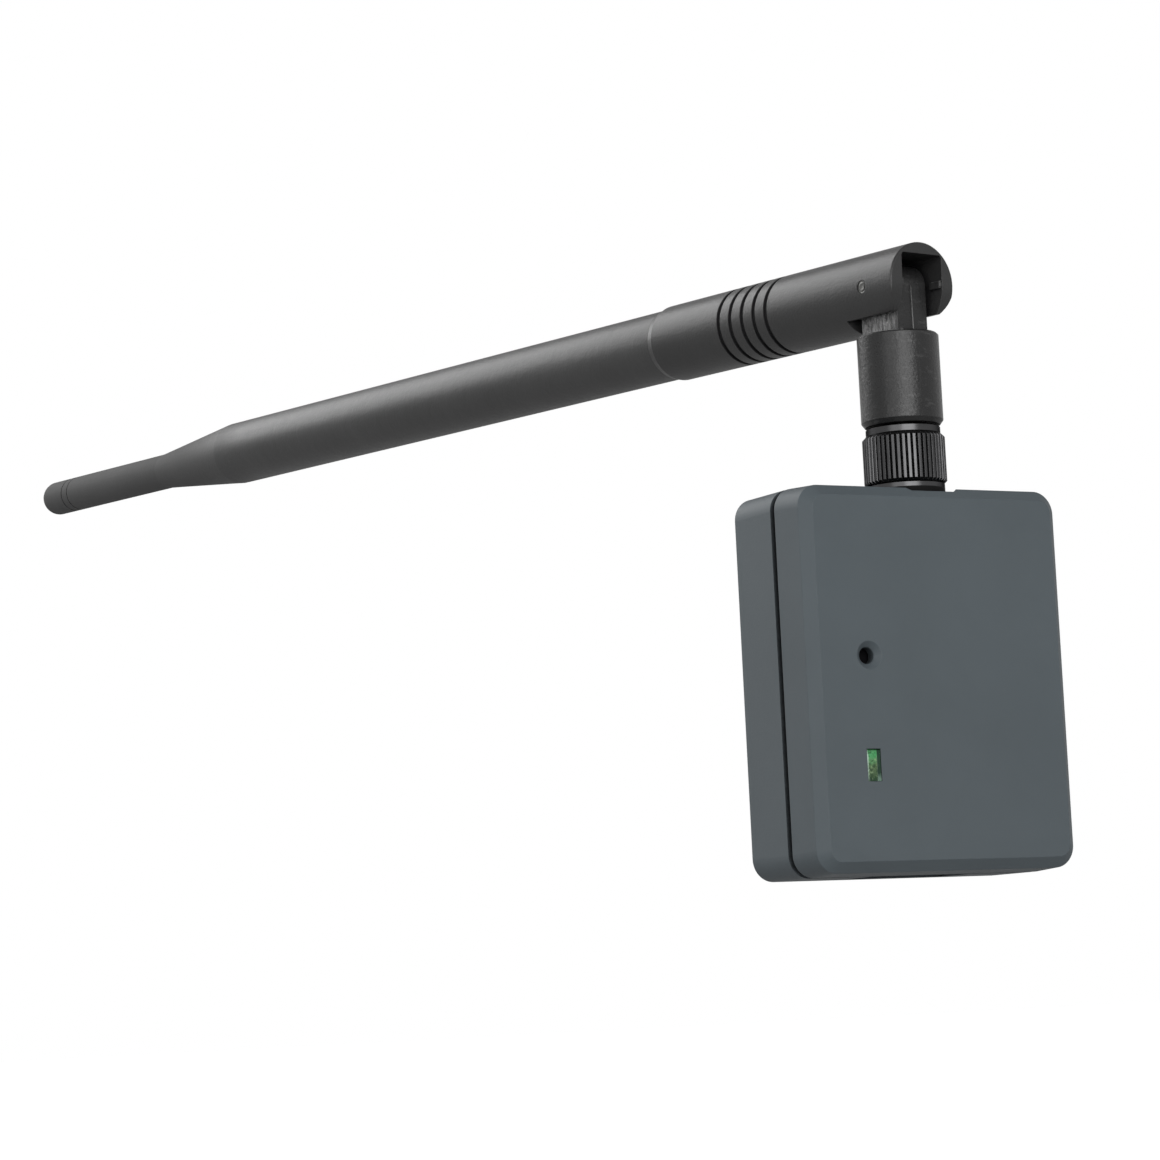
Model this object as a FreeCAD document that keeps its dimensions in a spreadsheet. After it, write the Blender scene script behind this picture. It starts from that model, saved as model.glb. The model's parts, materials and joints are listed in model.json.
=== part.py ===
import FreeCAD, Part
import math
import os
from types import SimpleNamespace

# Smart garage door opener: a two-shell case that holds a radio board, with a hinged, swivelling
# antenna screwed to the jack on its top.
# Frame: millimetres, +Z up along the jack, front face towards -Y, +X to the right seen from the
# front. The origin is the centre of the flat back face, which is fixed to the door motor.

SHEET_NAME = "Sizes"

SIZES = (
    ("case_width", 40.0, "outer width at the bevel of the face"),
    ("case_height", 50.0, "outer height at the bevel of the face"),
    ("case_depth", 17.0, "back face to front face"),
    ("corner_radius", 3.0, "outer corners seen from the front"),
    ("rim_chamfer", 1.35, "bevel round the front face"),
    ("side_draft", 0.27, "how far the walls lean out from the bevel to the parting groove"),
    ("back_edge_bevel", 0.4, "bevel round the back face"),
    ("wall", 2.0, "side walls of both shells"),
    ("face_thickness", 2.0, "front and back walls"),
    ("seam_depth", 9.85, "back face to the middle of the parting groove"),
    ("seam_gap", 1.05, "width of the parting groove"),
    ("lip_thickness", 0.95, "tongue of the front shell"),
    ("lip_reach", 1.6, "how far the tongue enters the rear shell"),
    ("lip_clearance", 0.1, "room round the tongue"),
    ("boss_radius", 2.5, "screw bosses"),
    ("boss_inset", 4.8, "case side to boss centre"),
    ("boss_gap", 0.1, "room between the bosses of the two shells"),
    ("screw_radius", 1.1, "shank of a case screw"),
    ("screw_clearance", 0.15, "shank to the hole in the rear boss"),
    ("pilot_clearance", 0.02, "shank to the hole in the front boss"),
    ("screw_head_radius", 2.0, "pan head"),
    ("screw_head_height", 1.6, "pan head"),
    ("screw_length", 11.0, "shank under the head"),
    ("screw_cross_width", 0.6, "slots of the cross recess"),
    ("screw_cross_length", 2.4, "slots of the cross recess"),
    ("screw_cross_depth", 0.8, "depth of the cross recess"),
    ("head_recess_depth", 2.2, "counterbore in the back"),
    ("head_clearance", 0.2, "head to counterbore"),
    ("pinhole_from_side", 8.8, "left side of the case to the button access hole"),
    ("pinhole_from_top", 22.15, "case top to the button access hole"),
    ("pinhole_radius", 1.1, "button access hole"),
    ("countersink", 0.75, "bevel at the mouth of the hole"),
    ("window_from_side", 8.65, "left side of the case to the status window"),
    ("window_from_foot", 13.7, "case foot to the status window"),
    ("window_width", 2.1, "status window"),
    ("window_height", 4.2, "status window"),
    ("guide_clearance", 0.05, "light guide to its window"),
    ("guide_recess", 0.25, "light guide behind the front face"),
    ("guide_flange", 0.7, "flange round the light guide"),
    ("guide_flange_depth", 0.8, "thickness of that flange"),
    ("guide_led_gap", 0.3, "light guide to the lamp"),
    ("board_thickness", 1.6, "circuit board"),
    ("board_margin", 0.5, "case wall to board edge"),
    ("board_notch_clearance", 0.4, "board to the bosses"),
    ("post_radius", 1.2, "posts that clamp the board"),
    ("post_inset_x", 4.5, "case side to post centre"),
    ("post_z", 8.0, "posts above and below the middle"),
    ("post_gap", 0.05, "front posts to the board"),
    ("jack_x", 0.75, "jack axis from the middle"),
    ("jack_neck_radius", 3.25, "jack where it passes the wall"),
    ("jack_hole_clearance", 0.1, "neck to the hole in the wall"),
    ("jack_plate_size", 6.4, "square plate inside the wall"),
    ("jack_plate_thickness", 1.7, "square plate inside the wall"),
    ("jack_leg_length", 3.5, "legs soldered to the board"),
    ("jack_leg_width", 1.0, "legs soldered to the board"),
    ("jack_leg_spacing", 4.8, "leg to leg across the plate"),
    ("jack_seat_radius", 7.0, "round seat sunk in the top about the jack"),
    ("jack_seat_depth", 0.4, "case top to the floor of the seat"),
    ("washer_thickness", 0.5, "ring under the jack's flange, above the case top"),
    ("jack_flange_radius", 5.15, "round flange outside"),
    ("jack_flange_thickness", 0.6, "round flange outside"),
    ("barrel_radius", 3.12, "threaded barrel of the jack"),
    ("barrel_top", 6.3, "case top to the end of the barrel"),
    ("jack_bore_radius", 2.05, "bore that holds the insulator"),
    ("insulator_clearance", 0.02, "insulators in their bores"),
    ("jack_contact_radius", 0.64, "centre contact of the jack"),
    ("contact_depth", 2.6, "how far the plug's contact enters the jack's"),
    ("contact_notch", 0.05, "contact to its notch in the board"),
    ("contact_tail", 2.6, "contact below the jack's plate"),
    ("nut_gap", 0.15, "jack flange to coupling nut"),
    ("nut_radius", 5.48, "coupling nut over its flutes"),
    ("nut_height", 7.5, "coupling nut"),
    ("nut_bevel_height", 0.55, "bevel between the flutes and the smooth collar"),
    ("nut_collar_radius", 4.95, "smooth collar at the top of the nut"),
    ("nut_collar_height", 0.8, "smooth collar at the top of the nut"),
    ("nut_foot_chamfer", 0.35, "bevel at the foot of the nut"),
    ("flute_count", 48.0, "flutes round the nut"),
    ("flute_depth", 0.3, "depth of a flute"),
    ("flute_width", 0.36, "width of a flute at the rim"),
    ("thread_clearance", 0.08, "barrel to nut"),
    ("plug_neck_radius", 2.5, "antenna plug through the nut"),
    ("plug_flange_radius", 2.9, "flange that holds the nut"),
    ("plug_flange_thickness", 0.5, "flange that holds the nut"),
    ("plug_seat_gap", 0.05, "jack barrel to plug"),
    ("plug_shoulder_gap", 0.1, "plug flange to the nut's shoulder"),
    ("plug_running_clearance", 0.1, "neck in the nut and stem in the sleeve"),
    ("plug_stem_radius", 3.2, "stem that the sleeve turns on"),
    ("plug_stem_height", 4.6, "stem inside the sleeve"),
    ("plug_bead", 0.25, "snap bead round the stem"),
    ("plug_bead_height", 0.8, "snap bead round the stem"),
    ("plug_bead_place", 2.6, "sleeve foot to the bead"),
    ("plug_bore_radius", 1.6, "bore through the plug"),
    ("plug_contact_radius", 0.45, "centre contact of the plug"),
    ("sleeve_gap", 0.4, "nut to sleeve"),
    ("sleeve_radius", 5.45, "swivel sleeve"),
    ("sleeve_height", 12.25, "swivel sleeve"),
    ("sleeve_foot_bevel", 0.45, "radial width of the bevel at the foot"),
    ("sleeve_foot_bevel_height", 0.6, "height of the bevel at the foot"),
    ("sleeve_top_bevel", 0.25, "bevel at the top"),
    ("sleeve_step_gap", 0.3, "end of the stem to the end of its bore"),
    ("cable_bore_radius", 1.2, "cable way in the sleeve and tube"),
    ("tongue_length", 7.2, "tongue along the antenna"),
    ("tongue_thickness", 5.6, "tongue across the antenna"),
    ("tongue_offset", 0.42, "jack axis to hinge axis"),
    ("tongue_crown", 3.1, "hinge axis to the top of the rounded crown"),
    ("tongue_crown_relief", 0.05, "crown to the rounding of its shoulders"),
    ("tongue_edge_bevel", 0.25, "bevelled upright edges of the tongue"),
    ("hub_radius", 2.8, "round hubs of the tongue about the pin"),
    ("hub_gap", 0.15, "hubs to the cheeks"),
    ("mould_line_width", 0.3, "parting ridge on the tongue"),
    ("mould_line_depth", 0.12, "parting ridge on the tongue"),
    ("hinge_height", 27.74, "case top to hinge axis"),
    ("swivel_angle", 97.1, "antenna heading at rest, from +X"),
    ("rise_angle", 1.54, "antenna above level at rest"),
    ("pin_radius", 0.85, "hinge pin"),
    ("pin_hold", 0.01, "pin in the tube"),
    ("pin_running", 0.05, "pin in the tongue"),
    ("pin_sink", 0.25, "pin end below the tube's surface"),
    ("tube_radius", 5.45, "base tube"),
    ("tube_tail", 6.05, "hinge axis to the open end"),
    ("tube_reach", 48.1, "hinge axis to the lip at the far end"),
    ("tube_end_bevel", 0.2, "bevel round the open end"),
    ("lip_bevel_length", 1.2, "bevel at the far end of the tube"),
    ("lip_bevel_depth", 0.3, "bevel at the far end of the tube"),
    ("slot_width", 6.9, "slot between the cheeks"),
    ("slot_reach", 5.0, "hinge axis to the blind end of the slot"),
    ("slot_roof", 3.88, "tube axis to the closed side of the slot"),
    ("cheek_flat", 3.76, "tube axis to the flat undersides of the cheeks"),
    ("slot_roof_radius", 0.45, "inner corners of the slot"),
    ("detent_rise", 0.4, "ridge inside each cheek"),
    ("detent_width", 0.9, "ridge inside each cheek"),
    ("detent_length", 1.9, "ridge inside each cheek"),
    ("ring_count", 5.0, "grooves round the tube"),
    ("ring_start", 20.6, "hinge axis to the first groove"),
    ("ring_pitch", 2.63, "groove to groove"),
    ("ring_width", 0.8, "groove"),
    ("ring_depth", 0.42, "groove"),
    ("socket_radius", 4.1, "socket for the mast's spigot"),
    ("socket_depth", 8.0, "socket for the mast's spigot"),
    ("spigot_clearance", 0.05, "spigot to socket"),
    ("spigot_end_gap", 0.2, "spigot to the end of the socket"),
    ("mast_root_radius", 5.1, "mast at the base tube"),
    ("mast_shoulder_radius", 5.24, "mast where the taper starts"),
    ("mast_seat_gap", 0.05, "tube lip to mast"),
    ("mast_shoulder", 174.1, "hinge axis to the start of the taper"),
    ("mast_neck", 199.4, "hinge axis to the end of the taper"),
    ("mast_end", 233.5, "hinge axis to the end of the mast"),
    ("tip_radius", 3.07, "thin end of the mast"),
    ("mast_bore_radius", 3.3, "hollow of the mast"),
    ("tip_bore_radius", 1.8, "hollow of the thin end"),
    ("bore_lead", 4.0, "the hollow narrows this far before the taper"),
    ("cap_gap", 0.2, "fine line between mast and cap"),
    ("cap_length", 11.55, "cap on the thin end"),
    ("cap_dome_radius", 2.97, "rounding of the cap"),
    ("cap_ring_place", 1.95, "edge of the cap to its fine groove"),
    ("cap_ring_width", 0.25, "fine groove round the cap"),
    ("cap_ring_depth", 0.15, "fine groove round the cap"),
    ("cap_spigot_length", 4.0, "cap inside the mast"),
    ("radiator_radius", 3.25, "brass sleeve in the mast"),
    ("radiator_wall", 0.4, "brass sleeve in the mast"),
    ("radiator_length", 30.0, "brass sleeve in the mast"),
    ("rod_radius", 0.7, "radiating wire"),
    ("rod_end_gap", 0.2, "wire to the cap's spigot"),
    ("cable_radius", 1.1, "feed cable in the base tube"),
    ("cable_slot_gap", 0.3, "cable behind the slot's blind end"),
    ("cable_grip", 0.5, "cable end to the radiator's end"),
    ("button_size", 6.0, "push switch body"),
    ("button_height", 3.3, "push switch body"),
    ("plunger_radius", 1.7, "push switch plunger"),
    ("plunger_stand", 0.65, "plunger above its body"),
    ("plunger_sink", 1.0, "plunger inside its body"),
    ("plunger_floor_gap", 0.4, "plunger to the floor of its bore"),
    ("plunger_clearance", 0.05, "plunger in its bore"),
    ("led_width", 2.8, "status lamp"),
    ("led_height", 3.5, "status lamp"),
    ("led_thickness", 1.9, "status lamp"),
    ("led_cup_radius", 1.15, "hollow of the lamp"),
    ("led_cup_depth", 0.6, "hollow of the lamp"),
    ("module_from_side", 14.5, "right side of the case to the radio module's centre"),
    ("module_from_top", 21.0, "case top to the radio module's centre"),
    ("module_width", 16.0, "radio module"),
    ("module_height", 20.0, "radio module"),
    ("module_thickness", 0.8, "radio module"),
    ("shield_margin", 1.0, "module edge to its can"),
    ("shield_drop", 5.0, "top of the module to its can"),
    ("shield_thickness", 2.2, "can on the module"),
    ("shield_wall", 0.25, "sheet of the can"),
    ("relay_from_side", 15.0, "right side of the case to the relay's centre"),
    ("relay_from_foot", 20.0, "case foot to the relay's centre"),
    ("relay_width", 14.0, "relay"),
    ("relay_height", 9.5, "relay"),
    ("relay_thickness", 6.2, "relay off the board"),
    ("relay_edge_radius", 0.5, "soft edges of the relay"),
    ("capacitor_from_side", 9.4, "left side of the case to the capacitor's centre"),
    ("capacitor_from_foot", 18.0, "case foot to the capacitor's centre"),
    ("capacitor_radius", 3.1, "reservoir capacitor"),
    ("capacitor_thickness", 5.6, "reservoir capacitor off the board"),
    ("capacitor_base", 0.8, "its plastic foot"),
    ("capacitor_lap", 0.1, "plastic foot past the can"),
    ("capacitor_bevel", 0.4, "bevel round the top of the can"),
    ("regulator_from_side", 9.8, "left side of the case to the regulator's centre"),
    ("regulator_from_foot", 27.2, "case foot to the regulator's centre"),
    ("regulator_width", 6.5, "voltage regulator"),
    ("regulator_height", 6.0, "voltage regulator"),
    ("regulator_thickness", 2.3, "voltage regulator"),
    ("inductor_from_side", 10.6, "left side of the case to the inductor's centre"),
    ("inductor_from_foot", 36.0, "case foot to the inductor's centre"),
    ("inductor_size", 6.0, "power inductor"),
    ("inductor_thickness", 3.0, "power inductor"),
    ("coupler_from_side", 11.0, "right side of the case to the coupler's centre"),
    ("coupler_from_foot", 31.0, "case foot to the coupler's centre"),
    ("coupler_width", 6.4, "optical coupler"),
    ("coupler_height", 4.6, "optical coupler"),
    ("coupler_thickness", 3.4, "optical coupler"),
    ("chip_count", 6.0, "small chip parts in a row"),
    ("chip_from_side", 23.6, "right side of the case to the first chip part"),
    ("chip_from_foot", 11.0, "case foot to the row of chip parts"),
    ("chip_pitch", 3.0, "chip to chip"),
    ("chip_width", 1.3, "chip part"),
    ("chip_height", 2.0, "chip part"),
    ("chip_thickness", 0.6, "chip part"),
    ("header_ways", 4.0, "contacts of the wiring header"),
    ("header_pitch", 3.5, "contact to contact"),
    ("header_side", 0.7, "header end to the first half pitch"),
    ("header_wall", 0.8, "shroud of the header"),
    ("header_thickness", 6.6, "header off the board"),
    ("header_length", 9.0, "header along the board"),
    ("header_cavity", 7.4, "depth of the shroud"),
    ("header_recess", 0.4, "header behind the bottom of the case"),
    ("header_clearance", 0.2, "header to the opening in the case"),
    ("header_pin", 1.0, "square contact"),
    ("header_pin_reach", 4.4, "contact inside the shroud"),
    ("header_pin_hold", 0.02, "contact to the hole in the shroud"),
    ("header_tail", 1.2, "contact behind the header"),
)


class Measure:
    """A length, with the sheet expression that it comes from."""

    def __init__(self, value, text):
        self.value = value
        self.text = text

    def combine(self, other, sign, value):
        return Measure(value, "(%s %s %s)" % (self.text, sign, text_of(other)))

    def __add__(self, other):
        return self.combine(other, "+", self.value + value_of(other))

    def __sub__(self, other):
        return self.combine(other, "-", self.value - value_of(other))

    def __mul__(self, other):
        return self.combine(other, "*", self.value * value_of(other))

    def __truediv__(self, other):
        return self.combine(other, "/", self.value / value_of(other))

    def __neg__(self):
        return Measure(-self.value, "(0 - %s)" % self.text)

    def __rmul__(self, other):
        return self * other


def value_of(item):
    """The number behind a Measure or a plain number."""
    return item.value if isinstance(item, Measure) else float(item)


def text_of(item):
    """The expression behind a Measure or a plain number."""
    return item.text if isinstance(item, Measure) else "%.9g" % float(item)


def fill_sheet(doc):
    """Puts every driving size into the sheet, with its name, number and meaning."""
    sheet = doc.addObject("Spreadsheet::Sheet", SHEET_NAME)
    for row, (name, number, words) in enumerate(SIZES, start=1):
        sheet.set("A%d" % row, name)
        sheet.set("B%d" % row, "%.9g" % number)
        sheet.set("C%d" % row, words)
        sheet.setAlias("B%d" % row, name)
    doc.recompute()
    return SimpleNamespace(**{
        name: Measure(float(sheet.get(name)), "%s.%s" % (SHEET_NAME, name)) for name, number, words in SIZES
    })


doc = FreeCAD.newDocument("garage_door_opener")
size = fill_sheet(doc)
nodes = []

# Levels and places that several pieces share.
case_top = size.case_height / 2
cavity_width = size.case_width - 2 * size.wall
cavity_height = size.case_height - 2 * size.wall
front_depth = size.case_depth - size.seam_depth - size.seam_gap / 2
rear_depth = size.seam_depth - size.seam_gap / 2
seam_width = size.case_width + 2 * size.side_draft
seam_height = size.case_height + 2 * size.side_draft
draft_slope = size.side_draft / (front_depth - size.rim_chamfer)
boss_x = size.case_width / 2 - size.boss_inset
boss_z = size.case_height / 2 - size.boss_inset
post_x = size.case_width / 2 - size.post_inset_x
board_back = -size.seam_depth + size.board_thickness / 2
board_front = -size.seam_depth - size.board_thickness / 2
inner_face = -size.case_depth + size.face_thickness
board_top = case_top - size.wall - size.jack_plate_thickness
left_side = -(size.case_width / 2)
right_side = size.case_width / 2
case_foot = -(size.case_height / 2)
pinhole_x = left_side + size.pinhole_from_side
pinhole_z = case_top - size.pinhole_from_top
window_x = left_side + size.window_from_side
window_z = case_foot + size.window_from_foot
header_width = size.header_ways * size.header_pitch + 2 * size.header_side
header_foot = case_foot + size.header_recess
flange_top = size.washer_thickness + size.jack_flange_thickness
nut_foot = flange_top + size.nut_gap
nut_top = nut_foot + size.nut_height
nut_bore = size.barrel_radius + size.thread_clearance
plug_foot = size.barrel_top + size.plug_seat_gap
plug_shoulder = plug_foot + size.plug_flange_thickness
shoulder_level = plug_shoulder + size.plug_shoulder_gap
sleeve_foot = nut_top + size.sleeve_gap
sleeve_top = sleeve_foot + size.sleeve_height
stem_top = sleeve_foot + size.plug_stem_height
mast_seat = size.tube_reach + size.mast_seat_gap
cap_seat = size.mast_end + size.cap_gap


def bind(item, name, amount):
    """Ties a property of an object to the sheet, or sets a plain number."""
    if isinstance(amount, Measure):
        item.setExpression(name, amount.text)
    else:
        setattr(item, name, amount)


def put(item, x=0.0, y=0.0, z=0.0):
    """Places an object by its corner or centre, tied to the sheet."""
    item.Placement.Base = FreeCAD.Vector(value_of(x), value_of(y), value_of(z))
    for name, amount in (("x", x), ("y", y), ("z", z)):
        if isinstance(amount, Measure):
            item.setExpression("Placement.Base.%s" % name, amount.text)


def turn(item, x=0.0, y=0.0, z=0.0):
    """Turns an object's own Z axis to the direction x, y, z."""
    item.Placement.Rotation = FreeCAD.Rotation(FreeCAD.Vector(0, 0, 1), FreeCAD.Vector(x, y, z))


def new_body(name):
    """An empty body that becomes one sub-part."""
    body = doc.addObject("PartDesign::Body", name)
    body.Label = name
    nodes.append(body)
    return body


def keep(item, name):
    """Makes a finished object one of the sub-parts."""
    item.Label = name
    nodes.append(item)
    return item


def plane_of(body, role):
    """One of a body's own origin planes."""
    return [item for item in body.Origin.OriginFeatures if item.Role == role][0]


def new_sketch(body, role, offset=0.0):
    """A sketch on one of the body's origin planes, moved along the plane's normal."""
    sketch = body.newObject("Sketcher::SketchObject", "%s_sketch" % body.Name)
    sketch.AttachmentSupport = [(plane_of(body, role), "")]
    sketch.MapMode = "FlatFace"
    if isinstance(offset, Measure):
        sketch.setExpression("AttachmentOffset.Base.z", offset.text)
    return sketch


def fix_point(sketch, line, end, x, y):
    """Ties an end point or a centre to its distances from the sketch's origin."""
    import Sketcher
    for kind, amount in (("DistanceX", x), ("DistanceY", y)):
        index = sketch.addConstraint(Sketcher.Constraint(kind, -1, 1, line, end, value_of(amount)))
        if isinstance(amount, Measure):
            sketch.setExpression("Constraints[%d]" % index, amount.text)


def add_outline(sketch, points):
    """A closed outline of straight lines through points tied to the sheet."""
    import Sketcher
    first = sketch.GeometryCount
    corners = [FreeCAD.Vector(value_of(x), value_of(y), 0) for x, y in points]
    for index, corner in enumerate(corners):
        sketch.addGeometry(Part.LineSegment(corner, corners[(index + 1) % len(corners)]))
    for index in range(len(corners)):
        following = first + (index + 1) % len(corners)
        sketch.addConstraint(Sketcher.Constraint("Coincident", first + index, 2, following, 1))
    for index, (x, y) in enumerate(points):
        fix_point(sketch, first + index, 1, x, y)


def add_circle(sketch, x, y, radius):
    """A circle tied to the sheet."""
    import Sketcher
    centre = FreeCAD.Vector(value_of(x), value_of(y), 0)
    line = sketch.addGeometry(Part.Circle(centre, FreeCAD.Vector(0, 0, 1), value_of(radius)))
    fix_point(sketch, line, 3, x, y)
    index = sketch.addConstraint(Sketcher.Constraint("Radius", line, value_of(radius)))
    if isinstance(radius, Measure):
        sketch.setExpression("Constraints[%d]" % index, radius.text)


def add_rectangle(sketch, x, y, width, height):
    """A rectangle about the centre x, y."""
    left = x - width / 2
    right = x + width / 2
    low = y - height / 2
    high = y + height / 2
    add_outline(sketch, ((left, low), (right, low), (right, high), (left, high)))


def add_heel(sketch, radius):
    """The corner outside a quarter circle about the sketch's origin, on the lower left."""
    import Sketcher
    out = radius + 2
    corners = ((-radius, Measure(0.0, "0")), (-out, Measure(0.0, "0")), (-out, -out),
               (Measure(0.0, "0"), -out), (Measure(0.0, "0"), -radius))
    points = [FreeCAD.Vector(value_of(x), value_of(y), 0) for x, y in corners]
    for start, stop in zip(points, points[1:]):
        sketch.addGeometry(Part.LineSegment(start, stop))
    circle = Part.Circle(FreeCAD.Vector(0, 0, 0), FreeCAD.Vector(0, 0, 1), value_of(radius))
    arc = sketch.addGeometry(Part.ArcOfCircle(circle, math.pi, 1.5 * math.pi))
    for line in range(arc - 1):
        sketch.addConstraint(Sketcher.Constraint("Coincident", line, 2, line + 1, 1))
    sketch.addConstraint(Sketcher.Constraint("Coincident", arc, 1, 0, 1))
    sketch.addConstraint(Sketcher.Constraint("Coincident", arc, 2, arc - 1, 2))
    sketch.addConstraint(Sketcher.Constraint("Coincident", arc, 3, -1, 1))
    for line, (x, y) in enumerate(corners[:-1]):
        fix_point(sketch, line, 1, x, y)
    sketch.addConstraint(Sketcher.Constraint("PointOnObject", arc, 2, -2))


def extrude(body, kind, sketch, length, reversed_way=False):
    """A pad or a pocket of one sketch. A length of None cuts through everything."""
    feature = body.newObject("PartDesign::%s" % kind, "%s_%s" % (body.Name, kind.lower()))
    feature.Profile = sketch
    feature.Reversed = reversed_way
    if length is None:
        feature.Type = "ThroughAll"
    else:
        feature.Type = "Length"
        bind(feature, "Length", length)
    sketch.Visibility = False
    return feature


def revolve(body, kind, sketch, axis):
    """A full revolution or groove of one sketch about its own H or V axis."""
    feature = body.newObject("PartDesign::%s" % kind, "%s_%s" % (body.Name, kind.lower()))
    feature.Profile = sketch
    feature.ReferenceAxis = (sketch, [axis])
    feature.Angle = 360.0
    return feature


def dress(body, kind, test, amount, name="Radius"):
    """A fillet or chamfer on the edges of the body's newest shape that pass a test."""
    doc.recompute()
    base = body.Tip
    edges = ["Edge%d" % number for number, edge in enumerate(base.Shape.Edges, start=1) if test(edge)]
    feature = body.newObject("PartDesign::%s" % kind, "%s_%s" % (body.Name, kind.lower()))
    feature.Base = (base, edges)
    bind(feature, name, amount)
    return feature


def block(body, kind, x, y, z, length, width, height):
    """A box added to or cut from a body, by its low corner and its sizes along X, Y and Z."""
    feature = body.newObject("PartDesign::%sBox" % kind, "%s_block" % body.Name)
    bind(feature, "Length", length)
    bind(feature, "Width", width)
    bind(feature, "Height", height)
    put(feature, x, y, z)
    return feature


def round_bar(body, kind, x, y, z, radius, length, along):
    """A cylinder added to or cut from a body, from a centre along a direction."""
    feature = body.newObject("PartDesign::%sCylinder" % kind, "%s_round" % body.Name)
    bind(feature, "Radius", radius)
    bind(feature, "Height", length)
    turn(feature, *along)
    put(feature, x, y, z)
    return feature


def near(first, second, reach=0.01):
    """Whether two lengths are the same within a hair."""
    return abs(value_of(first) - value_of(second)) < reach


def runs_along(edge, x, y, z):
    """Whether an edge is straight and parallel to a direction."""
    if not isinstance(edge.Curve, (Part.Line, Part.LineSegment)):
        return False
    way = edge.tangentAt(edge.FirstParameter)
    return abs(abs(way.dot(FreeCAD.Vector(x, y, z))) - 1.0) < 1e-6


def lies_at_y(edge, level):
    """Whether a whole edge lies in the plane at this y."""
    return near(edge.BoundBox.YMin, level) and near(edge.BoundBox.YMax, level)


def is_hoop(edge, station, radius):
    """Whether an edge is a circle about X at a station and radius."""
    box = edge.BoundBox
    return near(box.XMin, station) and near(box.XMax, station) and isinstance(edge.Curve, Part.Circle) \
        and near(edge.Curve.Radius, radius)


def leans_along_y(edge):
    """Whether an edge is straight and within a few degrees of Y."""
    if len(edge.Vertexes) < 2:
        return False
    way = edge.Vertexes[1].Point - edge.Vertexes[0].Point
    steepest = math.cos(math.radians(15))
    return near(edge.Length, way.Length) and abs(way.y) > steepest * way.Length


def round_corners(body, x, z, radius, reach=0.01):
    """Rounds the four corner edges near Y's direction, at half width x and half height z."""
    def is_corner(edge):
        middle = edge.BoundBox.Center
        return leans_along_y(edge) and near(abs(middle.x), x, reach) and near(abs(middle.z), z, reach)
    dress(body, "Fillet", is_corner, radius)


def four_places(x, z):
    """The four points at plus and minus x and z."""
    return [(side_x, side_z) for side_x in (-x, x) for side_z in (-z, z)]


def cut_jack_hole(body, seam_level):
    """The hole and its sunk round seat in the top wall, shared by both shells at the parting line."""
    radius = size.jack_neck_radius + size.jack_hole_clearance
    low = case_top - size.wall - 1
    round_bar(body, "Subtractive", size.jack_x, seam_level, low, radius, size.wall + 2, (0, 0, 1))
    round_bar(body, "Subtractive", size.jack_x, seam_level, case_top - size.jack_seat_depth,
              size.jack_seat_radius, size.jack_seat_depth + size.side_draft + 1, (0, 0, 1))


def cut_rim_groove_room(body, level, depth):
    """The step inside the rear shell's rim that takes the front shell's tongue."""
    grow = 2 * (size.lip_thickness + size.lip_clearance)
    sketch = new_sketch(body, "XZ_Plane", level)
    add_rectangle(sketch, Measure(0.0, "0"), Measure(0.0, "0"), cavity_width + grow, cavity_height + grow)
    extrude(body, "Pocket", sketch, depth)


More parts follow.
